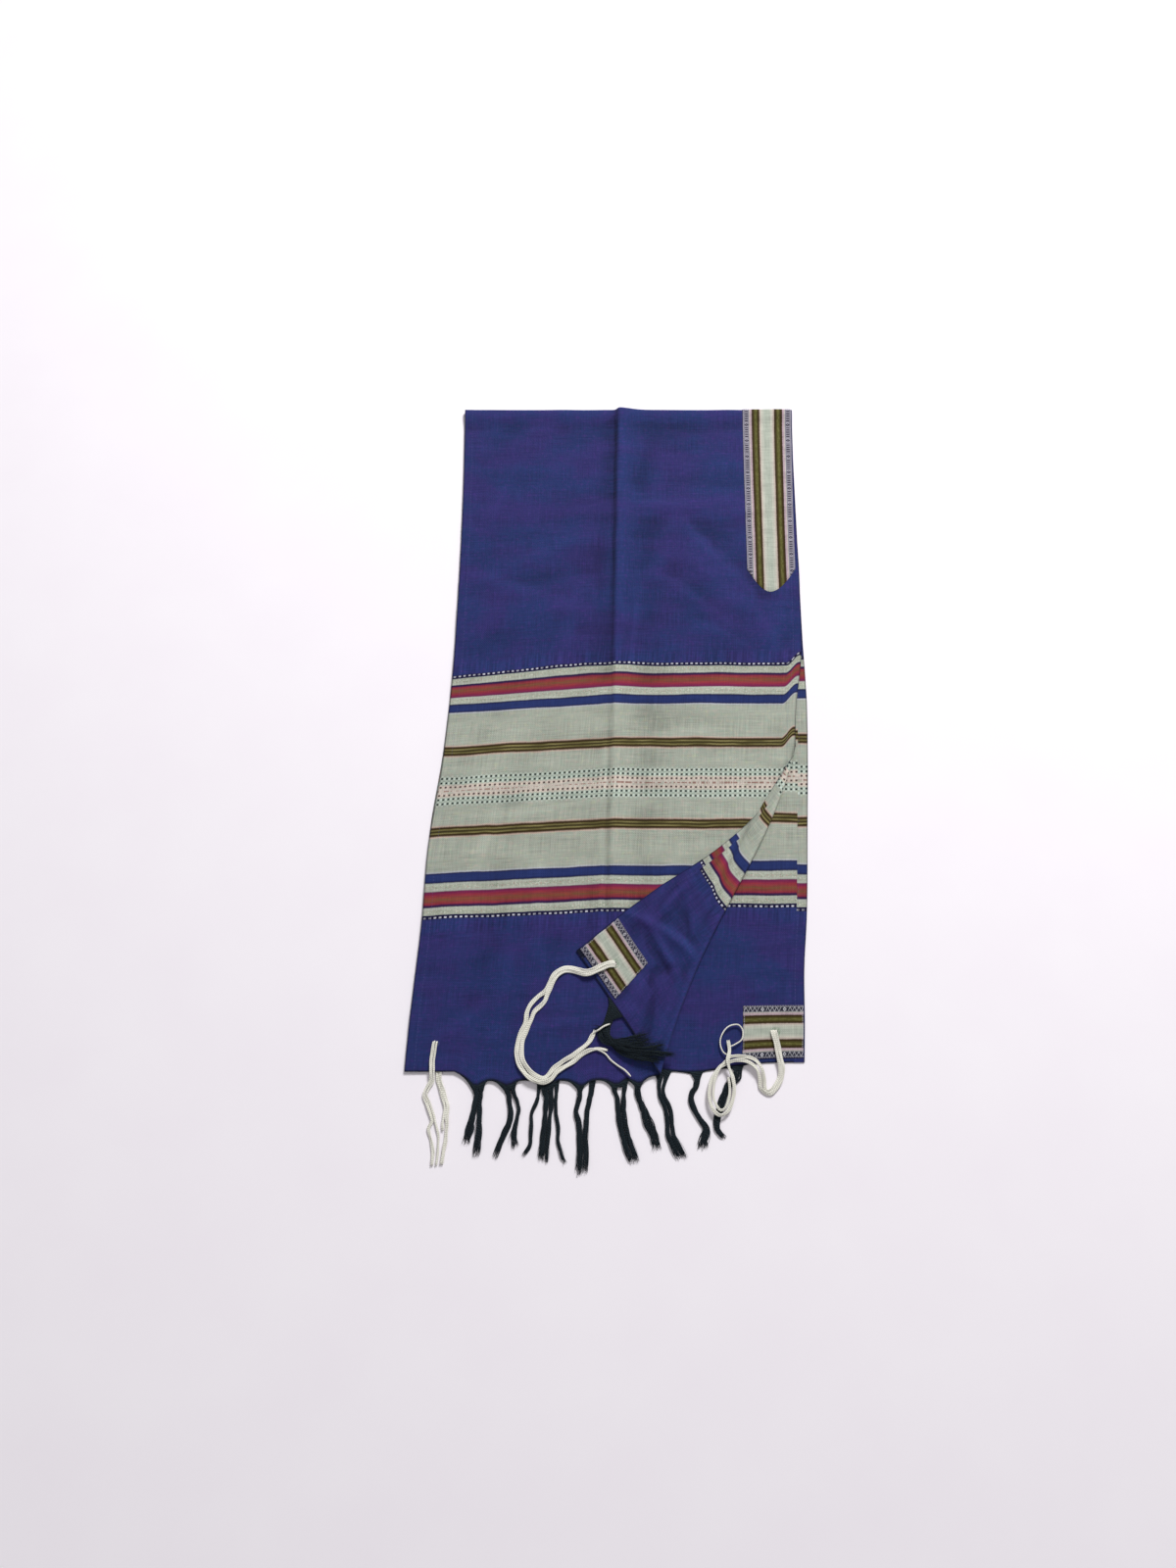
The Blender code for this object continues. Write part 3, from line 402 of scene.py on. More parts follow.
print("far fold stands", np.round(fold_point(230.0, 0.5 * np.pi)[2], 2), "mm above the table at its middle")

# %% [markdown]
# ## Making meshes from grids
#
# Each cloth piece is a thin shell: one grid for its outer face, one for its inner face, and a rim that
# joins them. The two cloth distances go into a UV map in metres, with the inner face set one metre
# aside, so that a finish can tell the two sides apart.


# %% Helpers that turn grids into Blender objects
def grid_quads(index):
    """Four-sided faces between neighbouring numbers of a grid."""
    quads = np.stack([index[:-1, :-1], index[:-1, 1:], index[1:, 1:], index[1:, :-1]], axis=-1)
    return quads.reshape(-1, 4)


def shell_faces(rows, columns):
    """Faces of two grids of the same size and of the rim round them."""
    outer = np.arange(rows * columns).reshape(rows, columns)
    inner = outer + rows * columns
    ring = np.concatenate([outer[0, :-1], outer[:-1, -1], outer[-1, :0:-1], outer[:0:-1, 0]])
    after = np.roll(ring, -1)
    shift = rows * columns
    rim = np.stack([ring, ring + shift, after + shift, after], axis=-1)
    return np.concatenate([grid_quads(outer), grid_quads(inner)[:, ::-1], rim])


def make_piece(name, points, faces, finish, uv=None, sharp=None):
    """An object at the origin, its points moved to the part's frame and turned to metres."""
    mesh = bpy.data.meshes.new(name)
    placed = (np.asarray(points).reshape(-1, 3) - MIDDLE) * 0.001
    mesh.from_pydata(placed.tolist(), [], [list(face) for face in faces])
    if uv is not None:
        corner = np.empty(len(mesh.loops), dtype=np.int32)
        mesh.loops.foreach_get("vertex_index", corner)
        layer = mesh.uv_layers.new(name="cloth")
        layer.data.foreach_set("uv", np.asarray(uv).reshape(-1, 2)[corner].ravel())
    shape = bmesh.new()
    shape.from_mesh(mesh)
    bmesh.ops.recalc_face_normals(shape, faces=shape.faces)
    shape.to_mesh(mesh)
    shape.free()
    mesh.shade_smooth()
    if sharp is not None:
        mesh.set_sharp_from_angle(angle=np.radians(sharp))
    mesh.materials.append(finish)
    piece = bpy.data.objects.new(name, mesh)
    bpy.context.scene.collection.objects.link(piece)
    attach(piece, "root")
    triangles = sum(len(face) - 2 for face in faces)
    print(name, "has", triangles, "triangles")
    return piece

# %% [markdown]
# ## Mixing a finish from nodes
#
# A woven finish is worked out from the cloth's own two distances, so nothing slides or stretches. A
# small class keeps the node work readable: each call adds one node and gives back its result.


# %% A small workbench for finishes
def colour(red, green, blue):
    """A colour as the eye reads it, 0 to 255, turned into the linear values that shaders use."""
    shown = np.array([red, green, blue]) / 255.0
    linear = np.where(shown <= 0.04045, shown / 12.92, ((shown + 0.055) / 1.055) ** 2.4)
    return (*linear.tolist(), 1.0)


class Finish:
    """A material whose nodes are added one by one."""

    def __init__(self, name, sheen=0.0):
        self.material = bpy.data.materials.new(name)
        self.material.use_nodes = True
        self.tree = self.material.node_tree
        self.shader = self.tree.nodes["Principled BSDF"]
        self.shader.inputs["Sheen Weight"].default_value = sheen
        self.shader.inputs["Sheen Roughness"].default_value = 0.5
        self.shader.inputs["Specular IOR Level"].default_value = 0.12

    def feed(self, socket, value):
        """Link a socket to a result, or set it to a number or colour."""
        if isinstance(value, bpy.types.NodeSocket):
            self.tree.links.new(value, socket)
        else:
            socket.default_value = value

    def node(self, kind, sockets, **settings):
        """One node with its settings and its sockets by name or number."""
        made = self.tree.nodes.new(kind)
        for key, value in settings.items():
            setattr(made, key, value)
        for key, value in sockets.items():
            self.feed(made.inputs[key], value)
        return made

    def math(self, operation, first, second=0.0):
        """One sum, product or other operation on two numbers."""
        return self.node("ShaderNodeMath", {0: first, 1: second}, operation=operation).outputs[0]

    def cloth_places(self):
        """The two distances of the UV map."""
        places = self.node("ShaderNodeUVMap", {}, uv_map="cloth").outputs[0]
        parts = self.node("ShaderNodeSeparateXYZ", {0: places})
        return parts.outputs[0], parts.outputs[1]

    def noise(self, first, second, first_rate, second_rate, detail=2.0, third=0.0):
        """Noise that runs faster along one distance than the other, as yarns do."""
        place = self.node("ShaderNodeCombineXYZ", {
            0: self.math("MULTIPLY", first, first_rate),
            1: self.math("MULTIPLY", second, second_rate),
            2: third,
        }).outputs[0]
        made = self.node("ShaderNodeTexNoise", {"Vector": place, "Scale": 1.0, "Detail": detail})
        return made.outputs["Fac"]

    def ease(self, value, low, high, start=0.0, end=1.0):
        """A smooth step from one number to another as the value passes from low to high."""
        made = self.node("ShaderNodeMapRange", {
            "Value": value, "From Min": low, "From Max": high, "To Min": start, "To Max": end,
        }, interpolation_type="SMOOTHSTEP")
        return made.outputs[0]

    def band(self, value, middle, half, soft):
        """One near a middle value, and nothing beyond half the band's width."""
        away = self.math("ABSOLUTE", self.math("SUBTRACT", value, middle))
        return self.ease(away, half, half + soft, 1.0, 0.0)

    def repeat(self, value, pitch):
        """Runs from zero to one over each pitch."""
        return self.math("FRACT", self.math("DIVIDE", value, pitch))

    def mix(self, share, first, second):
        """Two colours mixed by a share."""
        made = self.node("ShaderNodeMix", {0: share, 6: first, 7: second}, data_type="RGBA")
        return made.outputs[2]

    def part(self, first, second, share, shade, tint):
        """A tint laid over a shade where two masks meet, at no more than a given share."""
        return self.mix(self.math("MULTIPLY", self.math("MULTIPLY", first, second), share), shade, tint)

    def lit(self, shade, tone):
        """A shade made darker or lighter by a tone: colour x (1 + tone)."""
        scale = self.math("ADD", tone, 1.0)
        made = self.node("ShaderNodeVectorMath", {0: shade, 3: scale}, operation="SCALE")
        return made.outputs[0]

    def away_from(self, first, second, place):
        """Distance of two numbers from a place, as the length of a vector."""
        off = self.node("ShaderNodeCombineXYZ", {
            0: self.math("SUBTRACT", first, place[0]),
            1: self.math("SUBTRACT", second, place[1]),
        })
        made = self.node("ShaderNodeVectorMath", {0: off.outputs[0]}, operation="LENGTH")
        return made.outputs["Value"]

    def ramp(self, value, stops):
        """Colours at given places, joined by straight blends."""
        made = self.node("ShaderNodeValToRGB", {0: value})
        elements = made.color_ramp.elements
        elements[0].position, elements[0].color = stops[0]
        elements[1].position, elements[1].color = stops[-1]
        for place, shade in stops[1:-1]:
            elements.new(place).color = shade
        return made.outputs[0]

    def woven_bump(self, first, second, yarn, depth, strength, extra=None):
        """Plain weave: the product of two sines whose half wave is one yarn, plus uneven yarns."""
        rate = np.pi / yarn
        over = self.math("SINE", self.math("MULTIPLY", first, rate))
        under = self.math("SINE", self.math("MULTIPLY", second, rate))
        height = self.math("MULTIPLY", over, under)
        slubs = self.noise(first, second, 1600.0, 120.0, 2.0, 4.0)
        cross_slubs = self.noise(first, second, 120.0, 1600.0, 2.0, 9.0)
        height = self.math("ADD", height, self.math("MULTIPLY", slubs, 2.4))
        height = self.math("ADD", height, self.math("MULTIPLY", cross_slubs, 2.4))
        if extra is not None:
            height = self.math("ADD", height, extra)
        bump = self.node("ShaderNodeBump", {"Strength": strength, "Distance": depth, "Height": height})
        self.tree.links.new(bump.outputs[0], self.shader.inputs["Normal"])

    def rough(self, first, second, low, high):
        """Roughness that wanders between two values."""
        patches = self.noise(first, second, 180.0, 180.0, 3.0, 2.0)
        self.feed(self.shader.inputs["Roughness"], self.ease(patches, 0.3, 0.7, low, high))

    def paint(self, shade):
        """Send a colour to the shader."""
        self.feed(self.shader.inputs["Base Color"], shade)


print("finish workbench ready")

# %% [markdown]
# ## The woven stripes
#
# The shawl is woven in plain blue, and near each end the weaver changes the crossing yarns to make a
# wide grey band edged with red, white and blue stripes. The design is the same on both sides of its
# middle, so one distance, from the middle of the band, is enough. A ramp holds the stripes in order,
# and noise that runs fast across and slowly along frays their edges by a yarn or two.

# %% Stripe colours and places
BAND_MIDDLE = 0.5577
GROUND = colour(47, 45, 101)
GROUND_BLUE = colour(37, 50, 101)
NAVY = colour(24, 24, 62)
GREY = colour(163, 168, 156)
CREAM = colour(162, 168, 156)
PALE = colour(178, 183, 172)
LILAC = colour(190, 192, 204)
PLUM = colour(46, 24, 66)
MADDER = colour(136, 42, 64)
RUST = colour(112, 78, 52)
PURPLE_RED = colour(104, 32, 78)
UMBER = colour(56, 42, 20)
OLIVE = colour(74, 70, 30)
STRAW = colour(92, 90, 44)
BARK = colour(58, 48, 28)
ROSE = colour(196, 170, 156)
SHELL = colour(200, 190, 180)
TEAL_GREY = colour(160, 174, 162)
RAMP_SPAN = 200.0
# Where the eyelet of the left corner is: distances across and along.
EYELET_ACROSS = 34.0
EYELET_ALONG = 881.0
# Distance from the middle of the band in millimetres, and the colour there.
STRIPES = (
    (0, SHELL), (7.5, SHELL), (9.5, TEAL_GREY), (21.0, GREY), (45.6, GREY),
    (47.2, ROSE), (48.9, UMBER), (51.2, UMBER), (52.2, OLIVE), (54.4, BARK), (56.6, OLIVE),
    (57.6, UMBER), (59.9, UMBER), (61.6, ROSE), (63.2, GREY), (106.4, GREY), (107.6, LILAC),
    (108.8, NAVY), (111.0, GROUND_BLUE), (118.0, GROUND_BLUE), (120.6, NAVY), (122.0, PALE),
    (126.5, CREAM), (131.0, PALE), (132.2, PURPLE_RED), (137.0, MADDER),
    (142.5, RUST), (148.0, MADDER), (149.6, PLUM), (151.6, PLUM), (152.8, PALE), (157.0, CREAM),
)
print("the band has", len(STRIPES), "colour places on each side of its middle")

# %% [markdown]
# ## Distances on the cloth
#
# The finish of the cloth is made from distances: across it, along it, and from the middle of the band.
# Noise moves the last of these a little, so the stripes wander and their edges fray. Two uneven things
# are added: the stripes on the turned hem lie a few millimetres off, and on the outside they climb
# where the neck edge is drawn up.

# %% Distances on the cloth
HEM_SHIFT = 0.0050
CLIMB = 0.0155
CLIMB_FROM = 19.0
CLIMB_TO = 2.0


def cloth_distances(made):
    """The distances that every part of the finish reads.

    From the middle = |along + hem shift + climb - middle of the band| + fray + wander.
    """
    raw = made.cloth_places()
    inside = made.math("GREATER_THAN", raw[0], 0.7)
    across = made.math("SUBTRACT", raw[0], inside)
    # A hem is turned to the inside, and there the stripes meet a few millimetres off.
    hem = made.math("MULTIPLY", inside, made.math("GREATER_THAN", across, (WIDTH - HEM) * 0.001))
    along = made.math("ABSOLUTE", made.math("ADD", raw[1], made.math("MULTIPLY", hem, HEM_SHIFT)))
    # On the outside the neck edge is drawn up beside the stripes, so they climb over the last hem.
    climb = made.ease(across, (WIDTH - CLIMB_FROM) * 0.001, (WIDTH - CLIMB_TO) * 0.001, 0.0, CLIMB)
    climb = made.math("MULTIPLY", climb, made.math("SUBTRACT", 1.0, inside))
    climb = made.math("MULTIPLY", climb, made.band(along, 0.42, 0.09, 0.12))
    along = made.math("ADD", along, climb)
    fray = made.math("SUBTRACT", made.noise(*raw, 1100.0, 70.0, 2.0), 0.5)
    fray = made.math("MULTIPLY", fray, 0.0010)
    wander = made.math("SUBTRACT", made.noise(*raw, 16.0, 10.0, 2.0, 7.0), 0.5)
    wander = made.math("MULTIPLY", wander, 0.0036)
    from_middle = made.math("ABSOLUTE", made.math("SUBTRACT", along, BAND_MIDDLE))
    from_middle = made.math("ADD", from_middle, made.math("ADD", fray, wander))
    return {"raw": raw, "across": across, "along": along, "fray": fray, "wander": wander,
            "from_middle": from_middle}


print("hem shifts the stripes by", HEM_SHIFT, "m, and they climb by", CLIMB, "m at the neck edge")

# %% [markdown]
# ## Colours of the stripes and the ground
#
# The ramp turns the distance from the middle into a colour. The cream stripes then take small flecks of
# other dyes, the red one takes brighter yarns, and the grey ones a soft heather of green and rose.
# Beyond the stripes comes the blue ground, which is bluer in some patches. Each of these is noise eased
# to a mask, and the mask is the share of the second colour.

# %% Colours of the stripes and the ground
CREAM_FLECKS = ((33.0, colour(176, 140, 132)), (35.0, colour(128, 146, 118)), (37.0, colour(206, 208, 196)))
GREY_HEATHER = (
    (11.0, 0.50, colour(150, 172, 156)), (17.0, 0.52, colour(186, 172, 162)),
    (23.0, 0.54, colour(178, 184, 152)),
)
GROUND_STARTS = (0.1616, 0.1624)


def stripe_colours(made, cloth):
    """The ramp of stripes, the flecks in them, and the ground beyond."""
    raw, from_middle = cloth["raw"], cloth["from_middle"]
    stops = [(distance / RAMP_SPAN, shade) for distance, shade in STRIPES]
    shade = made.ramp(made.math("DIVIDE", from_middle, RAMP_SPAN * 0.001), stops)
    # Flecks of yellow-green and of other dyes in the cream stripes, and brighter yarns in the red.
    fleck = made.ease(made.noise(*raw, 620.0, 900.0, 2.0, 13.0), 0.46, 0.6)
    cream = made.math("ADD", made.band(from_middle, 0.1265, 0.0022, 0.0018),
                      made.band(from_middle, 0.158, 0.0022, 0.0018))
    shade = made.part(fleck, cream, 0.5, shade, colour(174, 182, 156))
    for seed, tint in CREAM_FLECKS:
        spot = made.ease(made.noise(*raw, 420.0, 480.0, 2.0, seed), 0.54, 0.64)
        shade = made.part(spot, cream, 0.6, shade, tint)
    red = made.band(from_middle, 0.142, 0.004, 0.004)
    mixed = made.ease(made.noise(*raw, 60.0, 620.0, 3.0, 39.0), 0.42, 0.6)
    shade = made.part(mixed, red, 0.4, shade, colour(156, 56, 54))
    # A heather of green and rose in the grey, but not in the olive stripe that crosses it.
    plain = made.math("SUBTRACT", 1.0, made.band(from_middle, 0.0544, 0.0064, 0.0010))
    grey = made.math("MULTIPLY", made.ease(from_middle, 0.104, 0.106, 1.0, 0.0), plain)
    for seed, low, tint in GREY_HEATHER:
        heather = made.ease(made.noise(*raw, 150.0, 210.0, 4.0, seed), low, low + 0.16)
        shade = made.part(grey, heather, 0.42, shade, tint)
    # Beyond the stripes the ground takes over, a little bluer or more violet in some patches.
    patches = made.noise(*raw, 15.0, 22.0, 4.0, 3.0)
    ground = made.mix(made.ease(patches, 0.36, 0.62), GROUND, GROUND_BLUE)
    speckle = made.noise(*raw, 210.0, 240.0, 3.0, 19.0)
    ground = made.mix(made.ease(speckle, 0.5, 0.72, 0.0, 0.45), ground, colour(66, 46, 116))
    return made.mix(made.ease(from_middle, *GROUND_STARTS), shade, ground)


print("cream stripes take", len(CREAM_FLECKS), "flecks and grey ones", len(GREY_HEATHER), "heathers")

# %% [markdown]
# ## Floats and dots
#
# Where a crossing yarn passes over several others, it shows as a pale float. A row of floats edges the
# band on each side, and six rows of dark dots between floats run along its middle. A repeat over a
# pitch places them across the cloth, and a thin band by distance places each row.

# %% Rows of floats and dots
DASH_PITCH = 0.0064
DOT_PITCH = 0.00635
# Distance of each row from the middle, its dots' colour and its floats' colour.
DOT_ROWS = (
    (0.0054, colour(74, 50, 48), colour(212, 196, 182)),
    (0.0110, colour(24, 38, 38), colour(204, 216, 204)),
    (0.0170, colour(26, 40, 40), colour(204, 217, 206)),
)
YELLOW_YARNS = ((0.0522, 6.0), (0.0566, 16.0))


def woven_rows(made, cloth, shade):
    """Dashes at the band's edges, dots and floats at its middle, and yellow yarns in the olive."""
    raw, from_middle = cloth["raw"], cloth["from_middle"]
    # Two pick-up rows of white floats edge the band.
    swayed = made.math("ADD", cloth["across"], made.math("MULTIPLY", cloth["wander"], 0.6))
    float_run = made.repeat(swayed, DASH_PITCH)
    float_light = made.ease(made.noise(*raw, 130.0, 5.0, 1.0, 21.0), 0.36, 0.58, 0.3, 0.95)
    float_mask = made.math("MULTIPLY", made.band(float_run, 0.5, 0.17, 0.14),
                           made.band(from_middle, 0.1653, 0.0007, 0.0007))
    shade = made.mix(made.band(from_middle, 0.1646, 0.0022, 0.0006), shade, colour(22, 20, 54))
    shade = made.mix(made.math("MULTIPLY", float_mask, float_light), shade, colour(200, 200, 212))
    # Dark dots between pale floats, in three rows on each side of the middle.
    dot_run = made.math("ABSOLUTE", made.math("SUBTRACT", made.repeat(cloth["across"], DOT_PITCH), 0.5))
    for distance, tone, pale in DOT_ROWS:
        row = made.band(from_middle, distance, 0.0012, 0.0012)
        shade = made.part(row, made.ease(dot_run, 0.2, 0.36), 0.75, shade, pale)
        thin_row = made.band(from_middle, distance, 0.0009, 0.0007)
        shade = made.part(made.ease(dot_run, 0.17, 0.25, 1.0, 0.0), thin_row, 0.95, shade, tone)
        between = made.band(from_middle, distance + 0.0029, 0.0006, 0.0010)
        shade = made.part(between, made.ease(dot_run, 0.26, 0.12), 0.35, shade, pale)
    core = made.math("MULTIPLY", made.band(from_middle, 0.0, 0.0005, 0.0006),
                     made.ease(made.noise(*raw, 300.0, 5.0, 1.0, 29.0), 0.42, 0.55))
    shade = made.mix(core, shade, colour(150, 120, 110))
    # Two yellow yarns run along the olive stripe, brighter here and there.
    for distance, seed in YELLOW_YARNS:
        sway = made.math("SUBTRACT", made.noise(*raw, 45.0, 3.0, 1.0, seed), 0.5)
        middle = made.math("ADD", from_middle, made.math("MULTIPLY", sway, 0.0014))
        glint = made.ease(made.noise(*raw, 26.0, 8.0, 1.0, seed + 2), 0.36, 0.64, 0.35, 1.0)
        line = made.band(middle, distance, 0.0006, 0.0007)
        shade = made.part(line, glint, 0.85, shade, colour(140, 131, 84))
    return shade


print("dashes every", DASH_PITCH, "m and dots every", DOT_PITCH, "m")

# %% [markdown]
# ## Edges, stitches and holes
#
# Each of these is a mask by a distance: the dark warp by the distance along, the painted shade at the
# rim of the hems and their small stitches by the distance from the side, and the worked hole, painted
# dark as shade, by the distance from its centre.

# %% Edges, stitches and holes
STITCH_LINE = 0.011
STITCH_PITCH = 0.0042


def edges_and_holes(made, cloth, shade):
    """Dark warp at the fringed edge, stitched hems with painted rim shade, a worked hole in painted shade."""
    across, along = cloth["across"], cloth["along"]
    # The weft runs out at the fringed edge and the black warp shows.
    ragged = made.math("ADD", along, made.math("MULTIPLY", cloth["fray"], 2.0))
    edge = made.ease(ragged, (HALF_LENGTH - 3.0) * 0.001, HALF_LENGTH * 0.001)
    shade = made.mix(made.math("MULTIPLY", edge, 0.9), shade, colour(14, 18, 26))
    # The hems take a row of small stitches, and their very edge is painted darker as shade.
    from_side = made.math("MINIMUM", across, made.math("SUBTRACT", WIDTH * 0.001, across))
    rim = made.ease(from_side, 0.0004, 0.0022, 0.6, 0.0)
    shade = made.mix(rim, shade, colour(14, 14, 40))
    seam = made.band(from_side, STITCH_LINE, 0.0002, 0.0003)
    stitch = made.band(made.repeat(along, STITCH_PITCH), 0.5, 0.26, 0.08)
    shade = made.part(seam, stitch, 0.25, shade, colour(96, 96, 150))
    # A hole painted dark, as the shade inside it, in a ring of pale stitches.
    reach = made.away_from(across, along, (EYELET_ACROSS * 0.001, EYELET_ALONG * 0.001))
    shade = made.mix(made.band(reach, 0.0030, 0.0007, 0.0004), shade, colour(70, 74, 120))
    return made.mix(made.ease(reach, 0.0018, 0.0024, 1.0, 0.0), shade, colour(8, 8, 14))


print("hem stitches every", STITCH_PITCH, "m")

# %% [markdown]
# ## Light and dark in the weave
#
# Uneven yarns make fine light and dark streaks both ways, and just outside the band a few warp yarns
# stand out as ribs. The hollows of the cloth get painted shade and its ridges painted light, by a value
# that each point of the mesh carries. A plain weave is added last, as a bump.

# %% Finish of the woven cloth
STREAK = 0.15
# Painted shade in the hollows and at the foot of the pressed crease, painted light on the ridges.
HOLLOW_DARK = -0.30
FOOT_DARK = -0.22
RIDGE_LIGHT = 0.12
WEAVE_YARN = 0.0011
WEAVE_DEPTH = 0.0004


def woven_cloth_finish():
    """Stripes, rows, edges, yarn tone, painted shade in hollows, painted light on ridges, weave relief."""
    made = Finish("woven_cloth", sheen=0.04)
    cloth = cloth_distances(made)
    raw = cloth["raw"]
    shade = stripe_colours(made, cloth)
    shade = woven_rows(made, cloth, shade)
    # Streaks of uneven yarn both ways, slow changes of tone, and pulled warp yarns beside the band.
    weft = made.ease(made.noise(*raw, 26.0, 1250.0, 3.0, 1.0), 0.25, 0.75, -STREAK, STREAK)
    warp = made.ease(made.noise(*raw, 1250.0, 26.0, 3.0, 5.0), 0.25, 0.75, -STREAK, STREAK)
    slow = made.ease(made.noise(*raw, 9.0, 60.0, 3.0, 31.0), 0.3, 0.7, -0.06, 0.06)
    tone = made.math("ADD", made.math("ADD", weft, warp), slow)
    pulled = made.band(cloth["from_middle"], 0.174, 0.004, 0.012)
    warp_wide = made.noise(*raw, 420.0, 14.0, 1.0, 8.0)
    pulled_tone = made.math("MULTIPLY", pulled, made.ease(warp_wide, 0.35, 0.65, -0.12, 0.2))
    tone = made.math("ADD", tone, pulled_tone)
    shade = edges_and_holes(made, cloth, shade)
    # Painted shade in the hollows, more at the foot of the pressed crease, and painted light on the ridges.
    raised = made.node("ShaderNodeAttribute", {}, attribute_name="raised").outputs["Fac"]
    painted_light_and_shade = made.ease(raised, -1.0, 0.0, HOLLOW_DARK, 0.0)
    painted_light_and_shade = made.math("ADD", painted_light_and_shade, made.ease(raised, -2.0, -1.0, FOOT_DARK, 0.0))
    painted_light_and_shade = made.math("ADD", painted_light_and_shade, made.ease(raised, 0.0, 1.0, 0.0, RIDGE_LIGHT))
    made.paint(made.lit(shade, made.math("ADD", tone, painted_light_and_shade)))
    made.rough(*raw, 0.78, 0.95)
    ribs = made.math("MULTIPLY", pulled, made.math("MULTIPLY", warp_wide, 2.0))
    made.woven_bump(*raw, WEAVE_YARN, WEAVE_DEPTH, 0.5, ribs)
    return made.material


cloth_finish = woven_cloth_finish()
print("woven cloth finish has", len(cloth_finish.node_tree.nodes), "nodes")

# %% [markdown]
# ## The cloth
#
# One grid covers the whole cloth: up the lower half, round the far fold, and down the upper half. Its
# columns are packed more closely at the hems, at the pressed crease and along the slanted fold, where
# the shape turns fast, and they slide across as the slanted fold does.

# %% Rows and columns of the cloth
LEFT_COLUMNS = np.concatenate([
    [0, 1.5, 4, 7, 9.5, 10.8, 11.6, 12.4, 13.2, 14.5, 17, 20],
    np.arange(25, 200, 5.5), np.arange(202, 250, 2.2),
])
RIGHT_COLUMNS = 24
TURN_COLUMNS = 22
LAST_COLUMNS = 52
THIN = 0.42
HEM_EXTRA = 0.16


def cloth_columns(along):
    """Distances across for each row: fixed on the left, then three runs that slide with the fold."""
    limit = WIDTH - 22.0
    line = turn_line(along)
    knot = 0.5 * (line + limit - np.hypot(line - limit, 6.0))
    first = np.broadcast_to(LEFT_COLUMNS, (len(along), len(LEFT_COLUMNS)))
    start = LEFT_COLUMNS[-1]
    share = np.arange(1, RIGHT_COLUMNS + 1) / RIGHT_COLUMNS
    right = start + (knot - 6.0 - start)[:, None] * share
    share = np.arange(1, TURN_COLUMNS + 1) / TURN_COLUMNS
    turn = knot[:, None] - 6.0 + 22.0 * share
    share = 1 - (1 - np.arange(1, LAST_COLUMNS + 1) / LAST_COLUMNS) ** 1.15
    last = (knot + 16.0)[:, None] + (WIDTH - knot - 16.0)[:, None] * share
    return np.concatenate([first, right, turn, last], axis=1)


lower_rows = np.concatenate([
    np.linspace(HALF_LENGTH, 810, 28), np.linspace(800, 500, 26), np.linspace(460, 0, 12),
])
fold_rows = np.pi * np.arange(1, 10) / 10
upper_rows = np.concatenate([
    np.linspace(0, 30, 12), np.linspace(36, 500, 76), np.linspace(503.2, HALF_LENGTH, 128),
])
print("rows:", len(lower_rows), "lower,", len(fold_rows), "round the fold,",
      len(upper_rows), "upper; columns:", cloth_columns(upper_rows).shape[1])

# %% [markdown]
# ## One grid, moved out both ways
#
# The cloth starts as one grid of points halfway through its thickness. A copy moved out one way is its
# outer face, a copy moved the other way is its inner face, and a rim joins them. The height of each
# point, less the mean height round it, is kept with the mesh. The finish reads it to paint shade into
# the hollows and light onto the ridges.

# %% Build the cloth
# A point this far above or below its surroundings counts as fully raised or hollow.
HOLLOW_LIMIT = 1.1
# The painted shade at the foot of the pressed crease: distance to its left, reach, and share by place.
CREASE_FOOT = 3.2
CREASE_FOOT_REACH = 3.0
CREASE_SHADE = np.array([(-380, 0), (-150, 0.08), (90, 0.12), (260, 0.7), (420, 1)])


def blurred(grid, reach):
    """Mean of each value and its neighbours up to a reach away, down the rows and along them."""
    for axis in (0, 1):
        index = np.arange(grid.shape[axis])
        moved = [np.take(grid, np.clip(index + step, 0, index[-1]), axis=axis)
                 for step in range(-reach, reach + 1)]
        grid = np.mean(moved, axis=0)
    return grid


def crease_shade(x, y):
    """Painted shade at the foot of the pressed crease: share(y) x exp(-(distance from the foot / reach)^2).
    """
    off = x - (CREASE_X - CREASE_LEAN * (FOLD_Y - y)) + CREASE_FOOT
    share = np.interp(y, CREASE_SHADE[:, 0], CREASE_SHADE[:, 1])
    return share * np.exp(-(off / CREASE_FOOT_REACH) ** 2)


